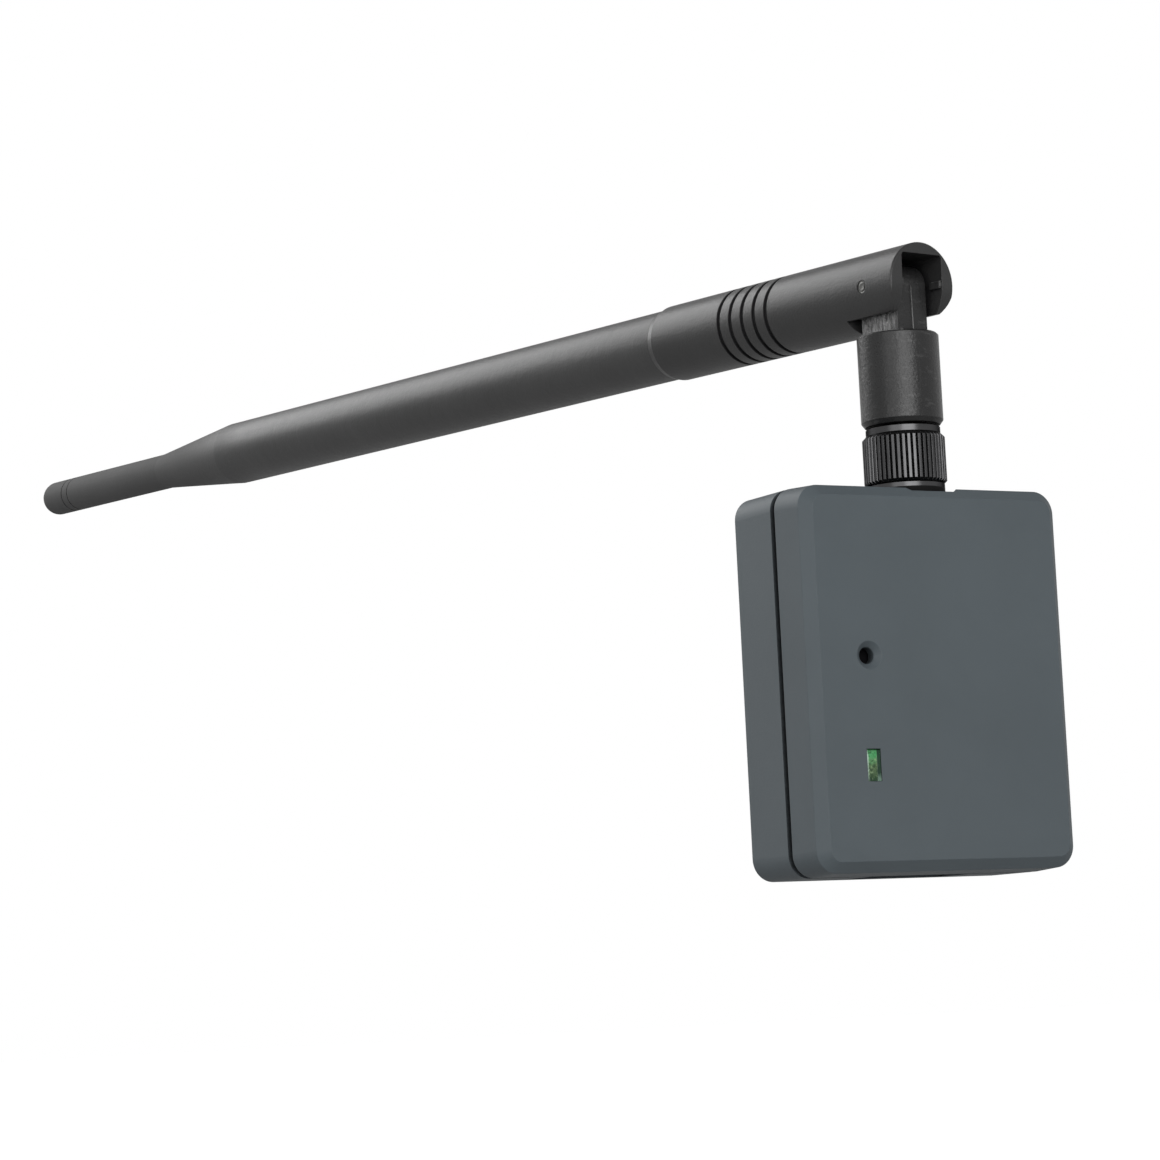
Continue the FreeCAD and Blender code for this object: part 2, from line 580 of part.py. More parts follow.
def make_front_shell():
    """Front shell: bevelled face with the button hole and window, tongue, bosses and posts."""
    zero = Measure(0.0, "0")
    body = new_body("front_shell")
    rim = -(size.seam_depth + size.seam_gap / 2)
    put(body, 0.0, rim, 0.0)

    outline = new_sketch(body, "XZ_Plane")
    add_rectangle(outline, zero, zero, seam_width, seam_height)
    pad = extrude(body, "Pad", outline, front_depth)
    pad.setExpression("TaperAngle", "-atan(%s)" % draft_slope.text)
    lean = draft_slope * front_depth / 2
    round_corners(body, seam_width / 2 - lean, seam_height / 2 - lean, size.corner_radius)
    dress(body, "Chamfer", lambda edge: lies_at_y(edge, -front_depth), size.rim_chamfer, "Size")

    hollow = new_sketch(body, "XZ_Plane")
    add_rectangle(hollow, zero, zero, cavity_width, cavity_height)
    extrude(body, "Pocket", hollow, front_depth - size.face_thickness, True)

    tongue = new_sketch(body, "XZ_Plane")
    tongue_grow = 2 * size.lip_thickness
    add_rectangle(tongue, zero, zero, cavity_width + tongue_grow, cavity_height + tongue_grow)
    add_rectangle(tongue, zero, zero, cavity_width, cavity_height)
    extrude(body, "Pad", tongue, size.seam_gap + size.lip_reach, True)
    round_corners(body, cavity_width / 2 + size.lip_thickness, cavity_height / 2 + size.lip_thickness,
                  size.corner_radius - size.wall + size.lip_thickness)
    round_corners(body, cavity_width / 2, cavity_height / 2, size.corner_radius - size.wall)

    inner_level = front_depth - size.face_thickness
    bosses = new_sketch(body, "XZ_Plane", inner_level)
    for x, z in four_places(boss_x, boss_z):
        add_circle(bosses, x, z, size.boss_radius)
    boss_length = board_back - size.boss_gap - inner_face
    extrude(body, "Pad", bosses, boss_length, True)

    pilots = new_sketch(body, "XZ_Plane", inner_level - size.face_thickness / 4)
    for x, z in four_places(boss_x, boss_z):
        add_circle(pilots, x, z, size.screw_radius + size.pilot_clearance)
    extrude(body, "Pocket", pilots, boss_length)

    posts = new_sketch(body, "XZ_Plane", inner_level)
    for x, z in four_places(post_x, size.post_z):
        add_circle(posts, x, z, size.post_radius)
    extrude(body, "Pad", posts, board_front - size.post_gap - inner_face, True)

    openings = new_sketch(body, "XZ_Plane")
    add_circle(openings, pinhole_x, pinhole_z, size.pinhole_radius)
    add_rectangle(openings, window_x, window_z, size.window_width, size.window_height)
    extrude(body, "Pocket", openings, None, True)

    def is_pinhole_mouth(edge):
        return lies_at_y(edge, -front_depth) and isinstance(edge.Curve, Part.Circle) \
            and near(edge.Curve.Radius, size.pinhole_radius)
    dress(body, "Chamfer", is_pinhole_mouth, size.countersink, "Size")

    cut_jack_hole(body, size.seam_gap / 2)
    room = header_width + 2 * size.header_clearance
    block(body, "Subtractive", -(room / 2), size.seam_gap / 2, case_foot - 1, room,
          size.seam_gap + size.lip_reach, size.wall + 2)
    return body


def make_rear_shell():
    """Rear shell: flat back, stepped rim, screw bosses, board posts and the wiring opening."""
    zero = Measure(0.0, "0")
    body = new_body("rear_shell")
    outline = new_sketch(body, "XZ_Plane")
    add_rectangle(outline, zero, zero, seam_width, seam_height)
    extrude(body, "Pad", outline, rear_depth)
    round_corners(body, seam_width / 2, seam_height / 2, size.corner_radius)
    dress(body, "Chamfer", lambda edge: lies_at_y(edge, 0.0), size.back_edge_bevel, "Size")

    hollow = new_sketch(body, "XZ_Plane", rear_depth)
    add_rectangle(hollow, zero, zero, cavity_width, cavity_height)
    extrude(body, "Pocket", hollow, rear_depth - size.face_thickness)
    round_corners(body, cavity_width / 2, cavity_height / 2, size.corner_radius - size.wall)
    cut_rim_groove_room(body, rear_depth, size.lip_reach + size.lip_clearance)
    step = size.lip_thickness + size.lip_clearance
    round_corners(body, cavity_width / 2 + step, cavity_height / 2 + step,
                  size.corner_radius - size.wall + step)

    bosses = new_sketch(body, "XZ_Plane", size.face_thickness)
    for x, z in four_places(boss_x, boss_z):
        add_circle(bosses, x, z, size.boss_radius)
    extrude(body, "Pad", bosses, -board_back - size.face_thickness)

    posts = new_sketch(body, "XZ_Plane", size.face_thickness)
    for x, z in four_places(post_x, size.post_z):
        add_circle(posts, x, z, size.post_radius)
    extrude(body, "Pad", posts, -board_back - size.face_thickness)

    holes = new_sketch(body, "XZ_Plane")
    for x, z in four_places(boss_x, boss_z):
        add_circle(holes, x, z, size.screw_radius + size.screw_clearance)
    extrude(body, "Pocket", holes, None, True)
    recesses = new_sketch(body, "XZ_Plane")
    for x, z in four_places(boss_x, boss_z):
        add_circle(recesses, x, z, size.screw_head_radius + size.head_clearance)
    extrude(body, "Pocket", recesses, size.head_recess_depth, True)

    cut_jack_hole(body, -size.seam_depth)
    room = header_width + 2 * size.header_clearance
    header_back = board_back + size.header_thickness + size.header_clearance
    block(body, "Subtractive", -(room / 2), -rear_depth - 1, case_foot - 1, room,
          header_back + rear_depth + 1, size.wall + 2)
    return body


def make_case_screws():
    """Four identical pan-head screws that enter from the back."""
    screws = []
    head_seat = -size.head_recess_depth
    for x, z in four_places(boss_x, boss_z):
        head = doc.addObject("Part::Cylinder", "screw_head")
        bind(head, "Radius", size.screw_head_radius)
        bind(head, "Height", size.screw_head_height)
        turn(head, 0, 1, 0)
        put(head, x, head_seat, z)
        shank = doc.addObject("Part::Cylinder", "screw_shank")
        bind(shank, "Radius", size.screw_radius)
        bind(shank, "Height", size.screw_length)
        turn(shank, 0, -1, 0)
        put(shank, x, head_seat, z)
        solid = doc.addObject("Part::MultiFuse", "screw_solid")
        solid.Shapes = [head, shank]
        solid.Refine = True
        floor = head_seat + size.screw_head_height - size.screw_cross_depth
        slots = []
        for length, height in ((size.screw_cross_length, size.screw_cross_width),
                               (size.screw_cross_width, size.screw_cross_length)):
            slot = doc.addObject("Part::Box", "screw_slot")
            bind(slot, "Length", length)
            bind(slot, "Width", size.screw_cross_depth * 2)
            bind(slot, "Height", height)
            put(slot, x - length / 2, floor, z - height / 2)
            slots.append(slot)
        cross = doc.addObject("Part::MultiFuse", "screw_cross")
        cross.Shapes = slots
        screw = doc.addObject("Part::Cut", "screw")
        screw.Base = solid
        screw.Tool = cross
        screws.append(screw)
    group = doc.addObject("Part::Compound", "case_screws")
    group.Links = screws
    return keep(group, "case_screws")


def make_circuit_board():
    """Board on the parting plane, notched for the screw bosses and the jack's contact."""
    body = new_body("circuit_board")
    put(body, 0.0, -size.seam_depth, 0.0)
    sketch = new_sketch(body, "XZ_Plane", -(size.board_thickness / 2))
    width = cavity_width - 2 * size.board_margin
    low = -(cavity_height / 2) + size.board_margin
    left = -(width / 2)
    right = width / 2
    add_outline(sketch, ((left, low), (right, low), (right, board_top), (left, board_top)))
    extrude(body, "Pad", sketch, size.board_thickness)
    notches = new_sketch(body, "XZ_Plane", size.board_thickness)
    notch = size.boss_radius + size.board_notch_clearance
    for x, z in four_places(boss_x, boss_z):
        add_rectangle(notches, x, z, 2 * notch, 2 * notch)
    extrude(body, "Pocket", notches, size.board_thickness * 2)
    half = size.jack_contact_radius + size.contact_notch
    block(body, "Subtractive", size.jack_x - half, -size.board_thickness,
          board_top - size.contact_tail - half, 2 * half, 2 * size.board_thickness,
          size.contact_tail + 2 * half)
    return body


def make_box_part(name, x, z, width, height, level, thickness, edge=None):
    """A plain moulded component: a box standing between two levels of y, with soft edges."""
    box = doc.addObject("Part::Box", name)
    bind(box, "Length", width)
    bind(box, "Width", thickness)
    bind(box, "Height", height)
    put(box, x - width / 2, level, z - height / 2)
    if edge is None:
        return keep(box, name)
    doc.recompute()
    soft = doc.addObject("Part::Fillet", "%s_soft" % name)
    soft.Base = box
    radius = value_of(edge)
    lines = enumerate(box.Shape.Edges, start=1)
    soft.Edges = [(number, radius, radius) for number, line in lines if runs_along(line, 0, 1, 0)]
    box.Label = "%s_block" % name
    return keep(soft, name)


def make_button():
    """Push switch behind the pinhole: a body with a bore, and a plunger that slides in it."""
    base = new_body("button_base")
    put(base, pinhole_x, board_front, pinhole_z)
    zero = Measure(0.0, "0")
    sketch = new_sketch(base, "XZ_Plane")
    add_rectangle(sketch, zero, zero, size.button_size, size.button_size)
    extrude(base, "Pad", sketch, size.button_height)
    bore = new_sketch(base, "XZ_Plane", size.button_height)
    add_circle(bore, zero, zero, size.plunger_radius + size.plunger_clearance)
    extrude(base, "Pocket", bore, size.plunger_sink + size.plunger_floor_gap)

    plunger = doc.addObject("Part::Cylinder", "button_plunger")
    bind(plunger, "Radius", size.plunger_radius)
    bind(plunger, "Height", size.plunger_sink + size.plunger_stand)
    turn(plunger, 0, -1, 0)
    put(plunger, pinhole_x, board_front - size.button_height + size.plunger_sink, pinhole_z)
    keep(plunger, "button_plunger")


def make_status_lamp():
    """Surface-mounted lamp with a shallow cup, and the clear guide that carries its light out."""
    zero = Measure(0.0, "0")
    lamp = new_body("status_led")
    put(lamp, window_x, board_front, window_z)
    sketch = new_sketch(lamp, "XZ_Plane")
    add_rectangle(sketch, zero, zero, size.led_width, size.led_height)
    extrude(lamp, "Pad", sketch, size.led_thickness)
    cup = new_sketch(lamp, "XZ_Plane", size.led_thickness)
    add_circle(cup, zero, zero, size.led_cup_radius)
    extrude(lamp, "Pocket", cup, size.led_cup_depth)

    guide = new_body("light_guide")
    put(guide, window_x, -size.case_depth + size.guide_recess, window_z)
    stem = new_sketch(guide, "XZ_Plane")
    slim = 2 * size.guide_clearance
    add_rectangle(stem, zero, zero, size.window_width - slim, size.window_height - slim)
    reach = board_front - size.led_thickness - size.guide_led_gap + size.case_depth - size.guide_recess
    extrude(guide, "Pad", stem, reach, True)
    flange = new_sketch(guide, "XZ_Plane", -(size.face_thickness - size.guide_recess))
    grow = 2 * size.guide_flange
    add_rectangle(flange, zero, zero, size.window_width + grow, size.window_height + grow)
    extrude(guide, "Pad", flange, size.guide_flange_depth, True)


def make_radio_module():
    """Radio module board and its pressed can, open towards the module."""
    thickness = size.module_thickness
    module_x = right_side - size.module_from_side
    module_z = case_top - size.module_from_top
    make_box_part("radio_module", module_x, module_z, size.module_width, size.module_height,
                  board_front - thickness, thickness)
    zero = Measure(0.0, "0")
    can = new_body("module_shield")
    can_height = size.module_height - size.shield_drop - size.shield_margin
    can_width = size.module_width - 2 * size.shield_margin
    drop = size.shield_drop / 2 - size.shield_margin / 2
    put(can, module_x, board_front - thickness, module_z - drop)
    sketch = new_sketch(can, "XZ_Plane")
    add_rectangle(sketch, zero, zero, can_width, can_height)
    extrude(can, "Pad", sketch, size.shield_thickness)
    hollow = new_sketch(can, "XZ_Plane")
    sheet = 2 * size.shield_wall
    add_rectangle(hollow, zero, zero, can_width - sheet, can_height - sheet)
    extrude(can, "Pocket", hollow, size.shield_thickness - size.shield_wall, True)


def make_capacitor():
    """Surface-mounted can capacitor on its square foot."""
    zero = Measure(0.0, "0")
    body = new_body("reservoir_capacitor")
    put(body, left_side + size.capacitor_from_side, board_back, case_foot + size.capacitor_from_foot)
    foot = new_sketch(body, "XZ_Plane")
    side = 2 * (size.capacitor_radius + size.capacitor_lap)
    add_rectangle(foot, zero, zero, side, side)
    extrude(body, "Pad", foot, size.capacitor_base, True)
    can = new_sketch(body, "XZ_Plane", -size.capacitor_base)
    add_circle(can, zero, zero, size.capacitor_radius)
    extrude(body, "Pad", can, size.capacitor_thickness - size.capacitor_base, True)
    level = size.capacitor_thickness
    dress(body, "Chamfer", lambda edge: lies_at_y(edge, level), size.capacitor_bevel, "Size")


def make_chip_parts():
    """A row of small chip parts beside the module, one group."""
    chips = []
    for index in range(int(round(value_of(size.chip_count)))):
        chip = doc.addObject("Part::Box", "chip")
        bind(chip, "Length", size.chip_width)
        bind(chip, "Width", size.chip_thickness)
        bind(chip, "Height", size.chip_height)
        put(chip, right_side - size.chip_from_side + index * size.chip_pitch,
            board_front - size.chip_thickness, case_foot + size.chip_from_foot - size.chip_height / 2)
        chips.append(chip)
    group = doc.addObject("Part::Compound", "chip_parts")
    group.Links = chips
    keep(group, "chip_parts")


def header_places():
    """Places across the case of the wiring contacts."""
    count = int(round(value_of(size.header_ways)))
    return [(index - (count - 1) / 2) * size.header_pitch for index in range(count)]


def make_wiring_header():
    """Shrouded plug-in header that faces down through the bottom wall, and its contacts."""
    body = new_body("wiring_header")
    top = header_foot + size.header_length
    block(body, "Additive", -(header_width / 2), board_back, header_foot, header_width,
          size.header_thickness, size.header_length)
    block(body, "Subtractive", -(header_width / 2) + size.header_wall, board_back + size.header_wall,
          header_foot - 1, header_width - 2 * size.header_wall, size.header_thickness - 2 * size.header_wall,
          size.header_cavity + 1)
    hole = size.header_pin + 2 * size.header_pin_hold
    middle = board_back + size.header_thickness / 2
    for x in header_places():
        block(body, "Subtractive", x - hole / 2, middle - hole / 2, header_foot, hole, hole,
              size.header_length + 1)

    pins = []
    tip = header_foot + size.header_cavity - size.header_pin_reach
    for x in header_places():
        straight = doc.addObject("Part::Box", "header_pin")
        bind(straight, "Length", size.header_pin)
        bind(straight, "Width", size.header_pin)
        bind(straight, "Height", top + size.header_tail - tip)
        put(straight, x - size.header_pin / 2, middle - size.header_pin / 2, tip)
        tail = doc.addObject("Part::Box", "header_tail")
        bind(tail, "Length", size.header_pin)
        bind(tail, "Width", middle + size.header_pin / 2 - board_back)
        bind(tail, "Height", size.header_pin)
        put(tail, x - size.header_pin / 2, board_back, top + size.header_tail - size.header_pin)
        pin = doc.addObject("Part::MultiFuse", "header_contact")
        pin.Shapes = [straight, tail]
        pin.Refine = True
        pins.append(pin)
    group = doc.addObject("Part::Compound", "header_pins")
    group.Links = pins
    keep(group, "header_pins")


def turned_body(name, points):
    """A body turned about the jack axis from a half outline of radius and height above the case."""
    body = new_body(name)
    put(body, size.jack_x, -size.seam_depth, case_top)
    sketch = new_sketch(body, "XZ_Plane")
    add_outline(sketch, points)
    revolve(body, "Revolution", sketch, "V_Axis")
    return body


def ring_points(inner, outer, low, high):
    """The half outline of a plain ring."""
    return ((inner, low), (outer, low), (outer, high), (inner, high))


def make_jack():
    """Coaxial jack clamped in the parting line, with its washer, insulator and contact."""
    bore = size.jack_bore_radius
    body = turned_body("jack_body", (
        (bore, -size.wall - size.jack_plate_thickness),
        (size.jack_neck_radius, -size.wall - size.jack_plate_thickness),
        (size.jack_neck_radius, size.washer_thickness),
        (size.jack_flange_radius, size.washer_thickness),
        (size.jack_flange_radius, flange_top),
        (size.barrel_radius, flange_top),
        (size.barrel_radius, size.barrel_top),
        (bore, size.barrel_top),
    ))
    half = size.jack_plate_size / 2
    low = -size.wall - size.jack_plate_thickness
    block(body, "Additive", -half, -half, low, size.jack_plate_size, size.jack_plate_size,
          size.jack_plate_thickness)
    for side in (-1, 1):
        for face in (-1, 1):
            x = side * size.jack_leg_spacing / 2 - size.jack_leg_width / 2
            y = size.board_thickness / 2 if face > 0 else -(size.board_thickness / 2) - size.jack_leg_width
            block(body, "Additive", x, y, low - size.jack_leg_length, size.jack_leg_width,
                  size.jack_leg_width, size.jack_leg_length + size.jack_plate_thickness / 2)
    round_bar(body, "Subtractive", 0.0, 0.0, low - 1, bore, size.barrel_top - low + 2, (0, 0, 1))

    turned_body("jack_washer", ring_points(size.jack_neck_radius + size.jack_hole_clearance,
                                           size.jack_flange_radius, -size.jack_seat_depth,
                                           size.washer_thickness))
    clearance = size.insulator_clearance
    turned_body("jack_insulator", ring_points(size.jack_contact_radius + clearance, bore - clearance,
                                              low, size.barrel_top - clearance))
    zero = Measure(0.0, "0")
    socket = size.plug_contact_radius + clearance
    mouth = size.barrel_top - 2 * clearance
    floor = mouth - size.contact_depth
    turned_body("jack_contact", (
        (zero, low - size.contact_tail),
        (size.jack_contact_radius, low - size.contact_tail),
        (size.jack_contact_radius, mouth),
        (socket, mouth),
        (socket, floor),
        (zero, floor),
    ))


def make_coupling_nut():
    """Knurled nut: a turned shell with upright flutes patterned round it."""
    collar = nut_top - size.nut_collar_height
    bevel = collar - size.nut_bevel_height
    foot = nut_foot + size.nut_foot_chamfer
    neck = size.plug_neck_radius + size.plug_running_clearance
    body = turned_body("coupling_nut", (
        (nut_bore, nut_foot),
        (size.nut_radius - size.nut_foot_chamfer, nut_foot),
        (size.nut_radius, foot),
        (size.nut_radius, bevel),
        (size.nut_collar_radius, collar),
        (size.nut_collar_radius, nut_top),
        (neck, nut_top),
        (neck, shoulder_level),
        (nut_bore, shoulder_level),
    ))
    flute = new_sketch(body, "XY_Plane", nut_foot)
    root = size.nut_radius - size.flute_depth
    rim = size.nut_radius + size.flute_depth
    spread = size.flute_width
    add_outline(flute, ((root, Measure(0.0, "0")), (rim, -spread), (rim, spread)))
    cut = extrude(body, "Pocket", flute, size.nut_height, True)
    pattern = body.newObject("PartDesign::PolarPattern", "coupling_nut_flutes")
    pattern.Originals = [cut]
    pattern.Axis = (flute, ["N_Axis"])
    pattern.Angle = 360.0
    pattern.Occurrences = int(round(value_of(size.flute_count)))
    body.Tip = pattern
    return body


def make_antenna_plug():
    """Plug that the nut draws onto the jack, with the stem that the sleeve turns on."""
    bead_low = sleeve_foot + size.plug_bead_place
    bead_high = bead_low + size.plug_bead_height
    bead = size.plug_stem_radius + size.plug_bead
    turned_body("antenna_plug", (
        (size.plug_bore_radius, plug_foot),
        (size.plug_flange_radius, plug_foot),
        (size.plug_flange_radius, plug_shoulder),
        (size.plug_neck_radius, plug_shoulder),
        (size.plug_neck_radius, sleeve_foot),
        (size.plug_stem_radius, sleeve_foot),
        (size.plug_stem_radius, bead_low),
        (bead, bead_low + size.plug_bead_height / 4),
        (bead, bead_high - size.plug_bead_height / 4),
        (size.plug_stem_radius, bead_high),
        (size.plug_stem_radius, stem_top),
        (size.plug_bore_radius, stem_top),
    ))
    clearance = size.insulator_clearance
    turned_body("plug_insulator", ring_points(size.plug_contact_radius + clearance,
                                              size.plug_bore_radius - clearance, plug_foot, stem_top))
    turned_body("plug_contact", ring_points(Measure(0.0, "0"), size.plug_contact_radius,
                                            plug_foot - size.contact_depth, stem_top - clearance))


def heading_turn():
    """The rotation that turns +X to the antenna's heading."""
    return FreeCAD.Rotation(FreeCAD.Vector(0, 0, 1), value_of(size.swivel_angle))


def make_swivel_sleeve():
    """Sleeve that turns on the plug, with the flat tongue that carries the hinge pin."""
    room = size.plug_running_clearance
    bore = size.plug_stem_radius + room
    bead_low = sleeve_foot + size.plug_bead_place - room
    bead_high = bead_low + size.plug_bead_height + 2 * room
    bead = bore + size.plug_bead
    roof = stem_top + size.sleeve_step_gap
    body = turned_body("swivel_sleeve", (
        (bore, sleeve_foot),
        (size.sleeve_radius - size.sleeve_foot_bevel, sleeve_foot),
        (size.sleeve_radius, sleeve_foot + size.sleeve_foot_bevel_height),
        (size.sleeve_radius, sleeve_top - size.sleeve_top_bevel),
        (size.sleeve_radius - size.sleeve_top_bevel, sleeve_top),
        (size.cable_bore_radius, sleeve_top),
        (size.cable_bore_radius, roof),
        (bore, roof),
        (bore, bead_high),
        (bead, bead_high - size.plug_bead_height / 4),
        (bead, bead_low + size.plug_bead_height / 4),
        (bore, bead_low),
    ))
    body.Placement.Rotation = heading_turn()

    back = size.tongue_offset - size.tongue_length / 2
    front = size.tongue_offset + size.tongue_length / 2
    crown = size.hinge_height + size.tongue_crown
    root = sleeve_top - size.sleeve_top_bevel
    tongue = new_sketch(body, "XZ_Plane", -(size.tongue_thickness / 2))
    add_outline(tongue, ((back, root), (front, root), (front, crown), (back, crown)))
    extrude(body, "Pad", tongue, size.tongue_thickness)
    dress(body, "Fillet", lambda edge: runs_along(edge, 0, 1, 0) and near(edge.BoundBox.ZMax, crown),
          size.tongue_crown - size.tongue_crown_relief)

    def is_upright(edge):
        box = edge.BoundBox
        return runs_along(edge, 0, 0, 1) and near(abs(box.Center.y), size.tongue_thickness / 2) \
            and box.ZMin > value_of(root) - 0.1
    dress(body, "Chamfer", is_upright, size.tongue_edge_bevel, "Size")
    hub = size.slot_width / 2 - size.hub_gap
    round_bar(body, "Additive", size.tongue_offset, -hub, size.hinge_height, size.hub_radius, 2 * hub,
              (0, 1, 0))
    block(body, "Additive", back - size.mould_line_depth, -(size.mould_line_width / 2), root,
          size.mould_line_depth * 2, size.mould_line_width, size.hinge_height - root)

    round_bar(body, "Subtractive", size.tongue_offset, -size.tongue_thickness, size.hinge_height,
              size.pin_radius + size.pin_running, size.tongue_thickness * 2, (0, 1, 0))
    return body


def antenna_placement():
    """Puts the antenna's own frame, +X to its tip and +Z to its closed side, at the hinge axis."""
    heading = heading_turn()
    hinge = heading.multVec(FreeCAD.Vector(value_of(size.tongue_offset), 0, 0))
    level = value_of(case_top + size.hinge_height)
    base = FreeCAD.Vector(value_of(size.jack_x), -value_of(size.seam_depth), level)
    rise = FreeCAD.Rotation(FreeCAD.Vector(0, 1, 0), -value_of(size.rise_angle))
    return FreeCAD.Placement(base + hinge, heading.multiply(rise))


def antenna_body(name, points):
    """A body turned about the antenna axis from a half outline of station and radius."""
    body = new_body(name)
    body.Placement = antenna_placement()
    sketch = new_sketch(body, "XZ_Plane")
    add_outline(sketch, points)
    revolve(body, "Revolution", sketch, "H_Axis")
    return body


def make_base_tube():
    """Lower tube: slotted hinge cheeks, ring grooves, bevelled lip and the mast's socket."""
    socket_floor = size.tube_reach - size.socket_depth
    body = antenna_body("base_tube", (
        (-size.tube_tail, size.cable_bore_radius),
        (-size.tube_tail, size.tube_radius - size.tube_end_bevel),
        (-size.tube_tail + size.tube_end_bevel, size.tube_radius),
        (size.tube_reach - size.lip_bevel_length, size.tube_radius),
        (size.tube_reach, size.tube_radius - size.lip_bevel_depth),
        (size.tube_reach, size.socket_radius),
        (socket_floor, size.socket_radius),
        (socket_floor, size.cable_bore_radius),
    ))
    rings = new_sketch(body, "XZ_Plane")
    for index in range(int(round(value_of(size.ring_count)))):
        station = size.ring_start + index * size.ring_pitch
        floor = size.tube_radius - size.ring_depth
        rim = size.tube_radius + size.ring_depth
        half = size.ring_width / 2
        add_outline(rings, ((station - half, floor), (station + half, floor), (station + half, rim),
                            (station - half, rim)))
    revolve(body, "Groove", rings, "H_Axis")

    half = size.slot_width / 2
    block(body, "Subtractive", -size.tube_tail - 1, -half, -size.tube_radius - 1,
          size.tube_tail + size.slot_reach + 1, size.slot_width, size.tube_radius + size.slot_roof + 1)

    def is_roof_corner(edge):
        box = edge.BoundBox
        return runs_along(edge, 1, 0, 0) and near(box.ZMax, size.slot_roof) and near(abs(box.Center.y), half)
    dress(body, "Fillet", is_roof_corner, size.slot_roof_radius)
    block(body, "Subtractive", -size.tube_tail - 1, -size.tube_radius - 1, -size.tube_radius - 1,
          size.tube_tail + size.slot_reach + 1, 2 * size.tube_radius + 2,
          size.tube_radius + 1 - size.cheek_flat)
    heel = new_sketch(body, "XZ_Plane")
    add_heel(heel, size.tube_tail)
    cut = extrude(body, "Pocket", heel, None)
    cut.Midplane = True
    for side in (-1, 1):
        y = half - size.detent_rise if side > 0 else -half - size.detent_rise
        block(body, "Additive", -size.tube_tail + size.tube_end_bevel, y, -(size.detent_width / 2),
              size.detent_length, size.detent_rise * 2, size.detent_width)
    round_bar(body, "Subtractive", 0.0, -size.tube_radius - 1, 0.0, size.pin_radius + size.pin_hold,
              2 * size.tube_radius + 2, (0, 1, 0))
    return body


def make_hinge_pin():
    """Steel pin through both cheeks and the tongue."""
    pin = doc.addObject("Part::Cylinder", "hinge_pin")
    bind(pin, "Radius", size.pin_radius)
    bind(pin, "Height", 2 * size.tube_radius - 2 * size.pin_sink)
    place = antenna_placement()
    start = FreeCAD.Vector(0, value_of(size.pin_sink - size.tube_radius), 0)
    across = FreeCAD.Rotation(FreeCAD.Vector(0, 0, 1), FreeCAD.Vector(0, 1, 0))
    pin.Placement = place.multiply(FreeCAD.Placement(start, across))
    return keep(pin, "hinge_pin")


def make_mast():
    """Hollow mast with its spigot, long taper and thin end."""
    spigot_radius = size.socket_radius - size.spigot_clearance
    spigot_end = size.tube_reach - size.socket_depth + size.spigot_end_gap
    body = antenna_body("mast_sheath", (
        (spigot_end, size.mast_bore_radius),
        (spigot_end, spigot_radius),
        (mast_seat, spigot_radius),
        (mast_seat, size.mast_root_radius),
        (size.mast_shoulder, size.mast_shoulder_radius),
        (size.mast_neck, size.tip_radius),
        (size.mast_end, size.tip_radius),
        (size.mast_end, size.tip_bore_radius),
        (size.mast_neck - size.bore_lead, size.tip_bore_radius),
        (size.mast_shoulder - size.bore_lead, size.mast_bore_radius),
    ))
    return body


def make_tip_cap():
    """Domed cap with a fine groove, plugged into the thin end."""
    spigot = size.tip_bore_radius - size.spigot_clearance
    groove = cap_seat + size.cap_ring_place
    groove_end = groove + size.cap_ring_width
    groove_floor = size.tip_radius - size.cap_ring_depth
    cap_end = cap_seat + size.cap_length
    zero = Measure(0.0, "0")
    body = antenna_body("tip_cap", (
        (size.mast_end - size.cap_spigot_length, zero),
        (size.mast_end - size.cap_spigot_length, spigot),
        (cap_seat, spigot),
        (cap_seat, size.tip_radius),
        (groove, size.tip_radius),
        (groove, groove_floor),
        (groove_end, groove_floor),
        (groove_end, size.tip_radius),
        (cap_end, size.tip_radius),
        (cap_end, zero),
    ))
    dress(body, "Fillet", lambda edge: is_hoop(edge, cap_end, size.tip_radius), size.cap_dome_radius)
    return body


def make_radiator():
    """Feed cable in the base tube, brass sleeve and radiating wire in the mast."""
    zero = Measure(0.0, "0")
    cable_start = size.slot_reach + size.cable_slot_gap
    sleeve_start = size.tube_reach - size.socket_depth + size.spigot_end_gap + size.cable_grip
    sleeve_end = sleeve_start + size.radiator_length
    wire_end = size.mast_end - size.cap_spigot_length - size.rod_end_gap
    antenna_body("feed_cable", (
        (cable_start, zero), (cable_start, size.cable_radius),
        (sleeve_start, size.cable_radius), (sleeve_start, zero),
    ))
    antenna_body("radiator_sleeve", (
        (sleeve_start, size.radiator_radius - size.radiator_wall), (sleeve_start, size.radiator_radius),
        (sleeve_end, size.radiator_radius), (sleeve_end, size.radiator_radius - size.radiator_wall),
    ))
    antenna_body("radiator_wire", (
        (sleeve_start, zero), (sleeve_start, size.rod_radius),
        (wire_end, size.rod_radius), (wire_end, zero),
    ))


def make_board_parts():
    """Everything soldered to the board."""
    make_button()
    make_status_lamp()
    make_radio_module()
    make_chip_parts()
    make_box_part("relay", right_side - size.relay_from_side, case_foot + size.relay_from_foot,
                  size.relay_width, size.relay_height, board_back, size.relay_thickness,
                  size.relay_edge_radius)
    make_capacitor()
    make_box_part("voltage_regulator", left_side + size.regulator_from_side,
                  case_foot + size.regulator_from_foot, size.regulator_width, size.regulator_height,
                  board_back, size.regulator_thickness)
    make_box_part("power_inductor", left_side + size.inductor_from_side,
                  case_foot + size.inductor_from_foot, size.inductor_size, size.inductor_size,
                  board_back, size.inductor_thickness, size.relay_edge_radius)
    make_box_part("optical_coupler", right_side - size.coupler_from_side,
                  case_foot + size.coupler_from_foot, size.coupler_width, size.coupler_height,
                  board_back, size.coupler_thickness)
    make_wiring_header()


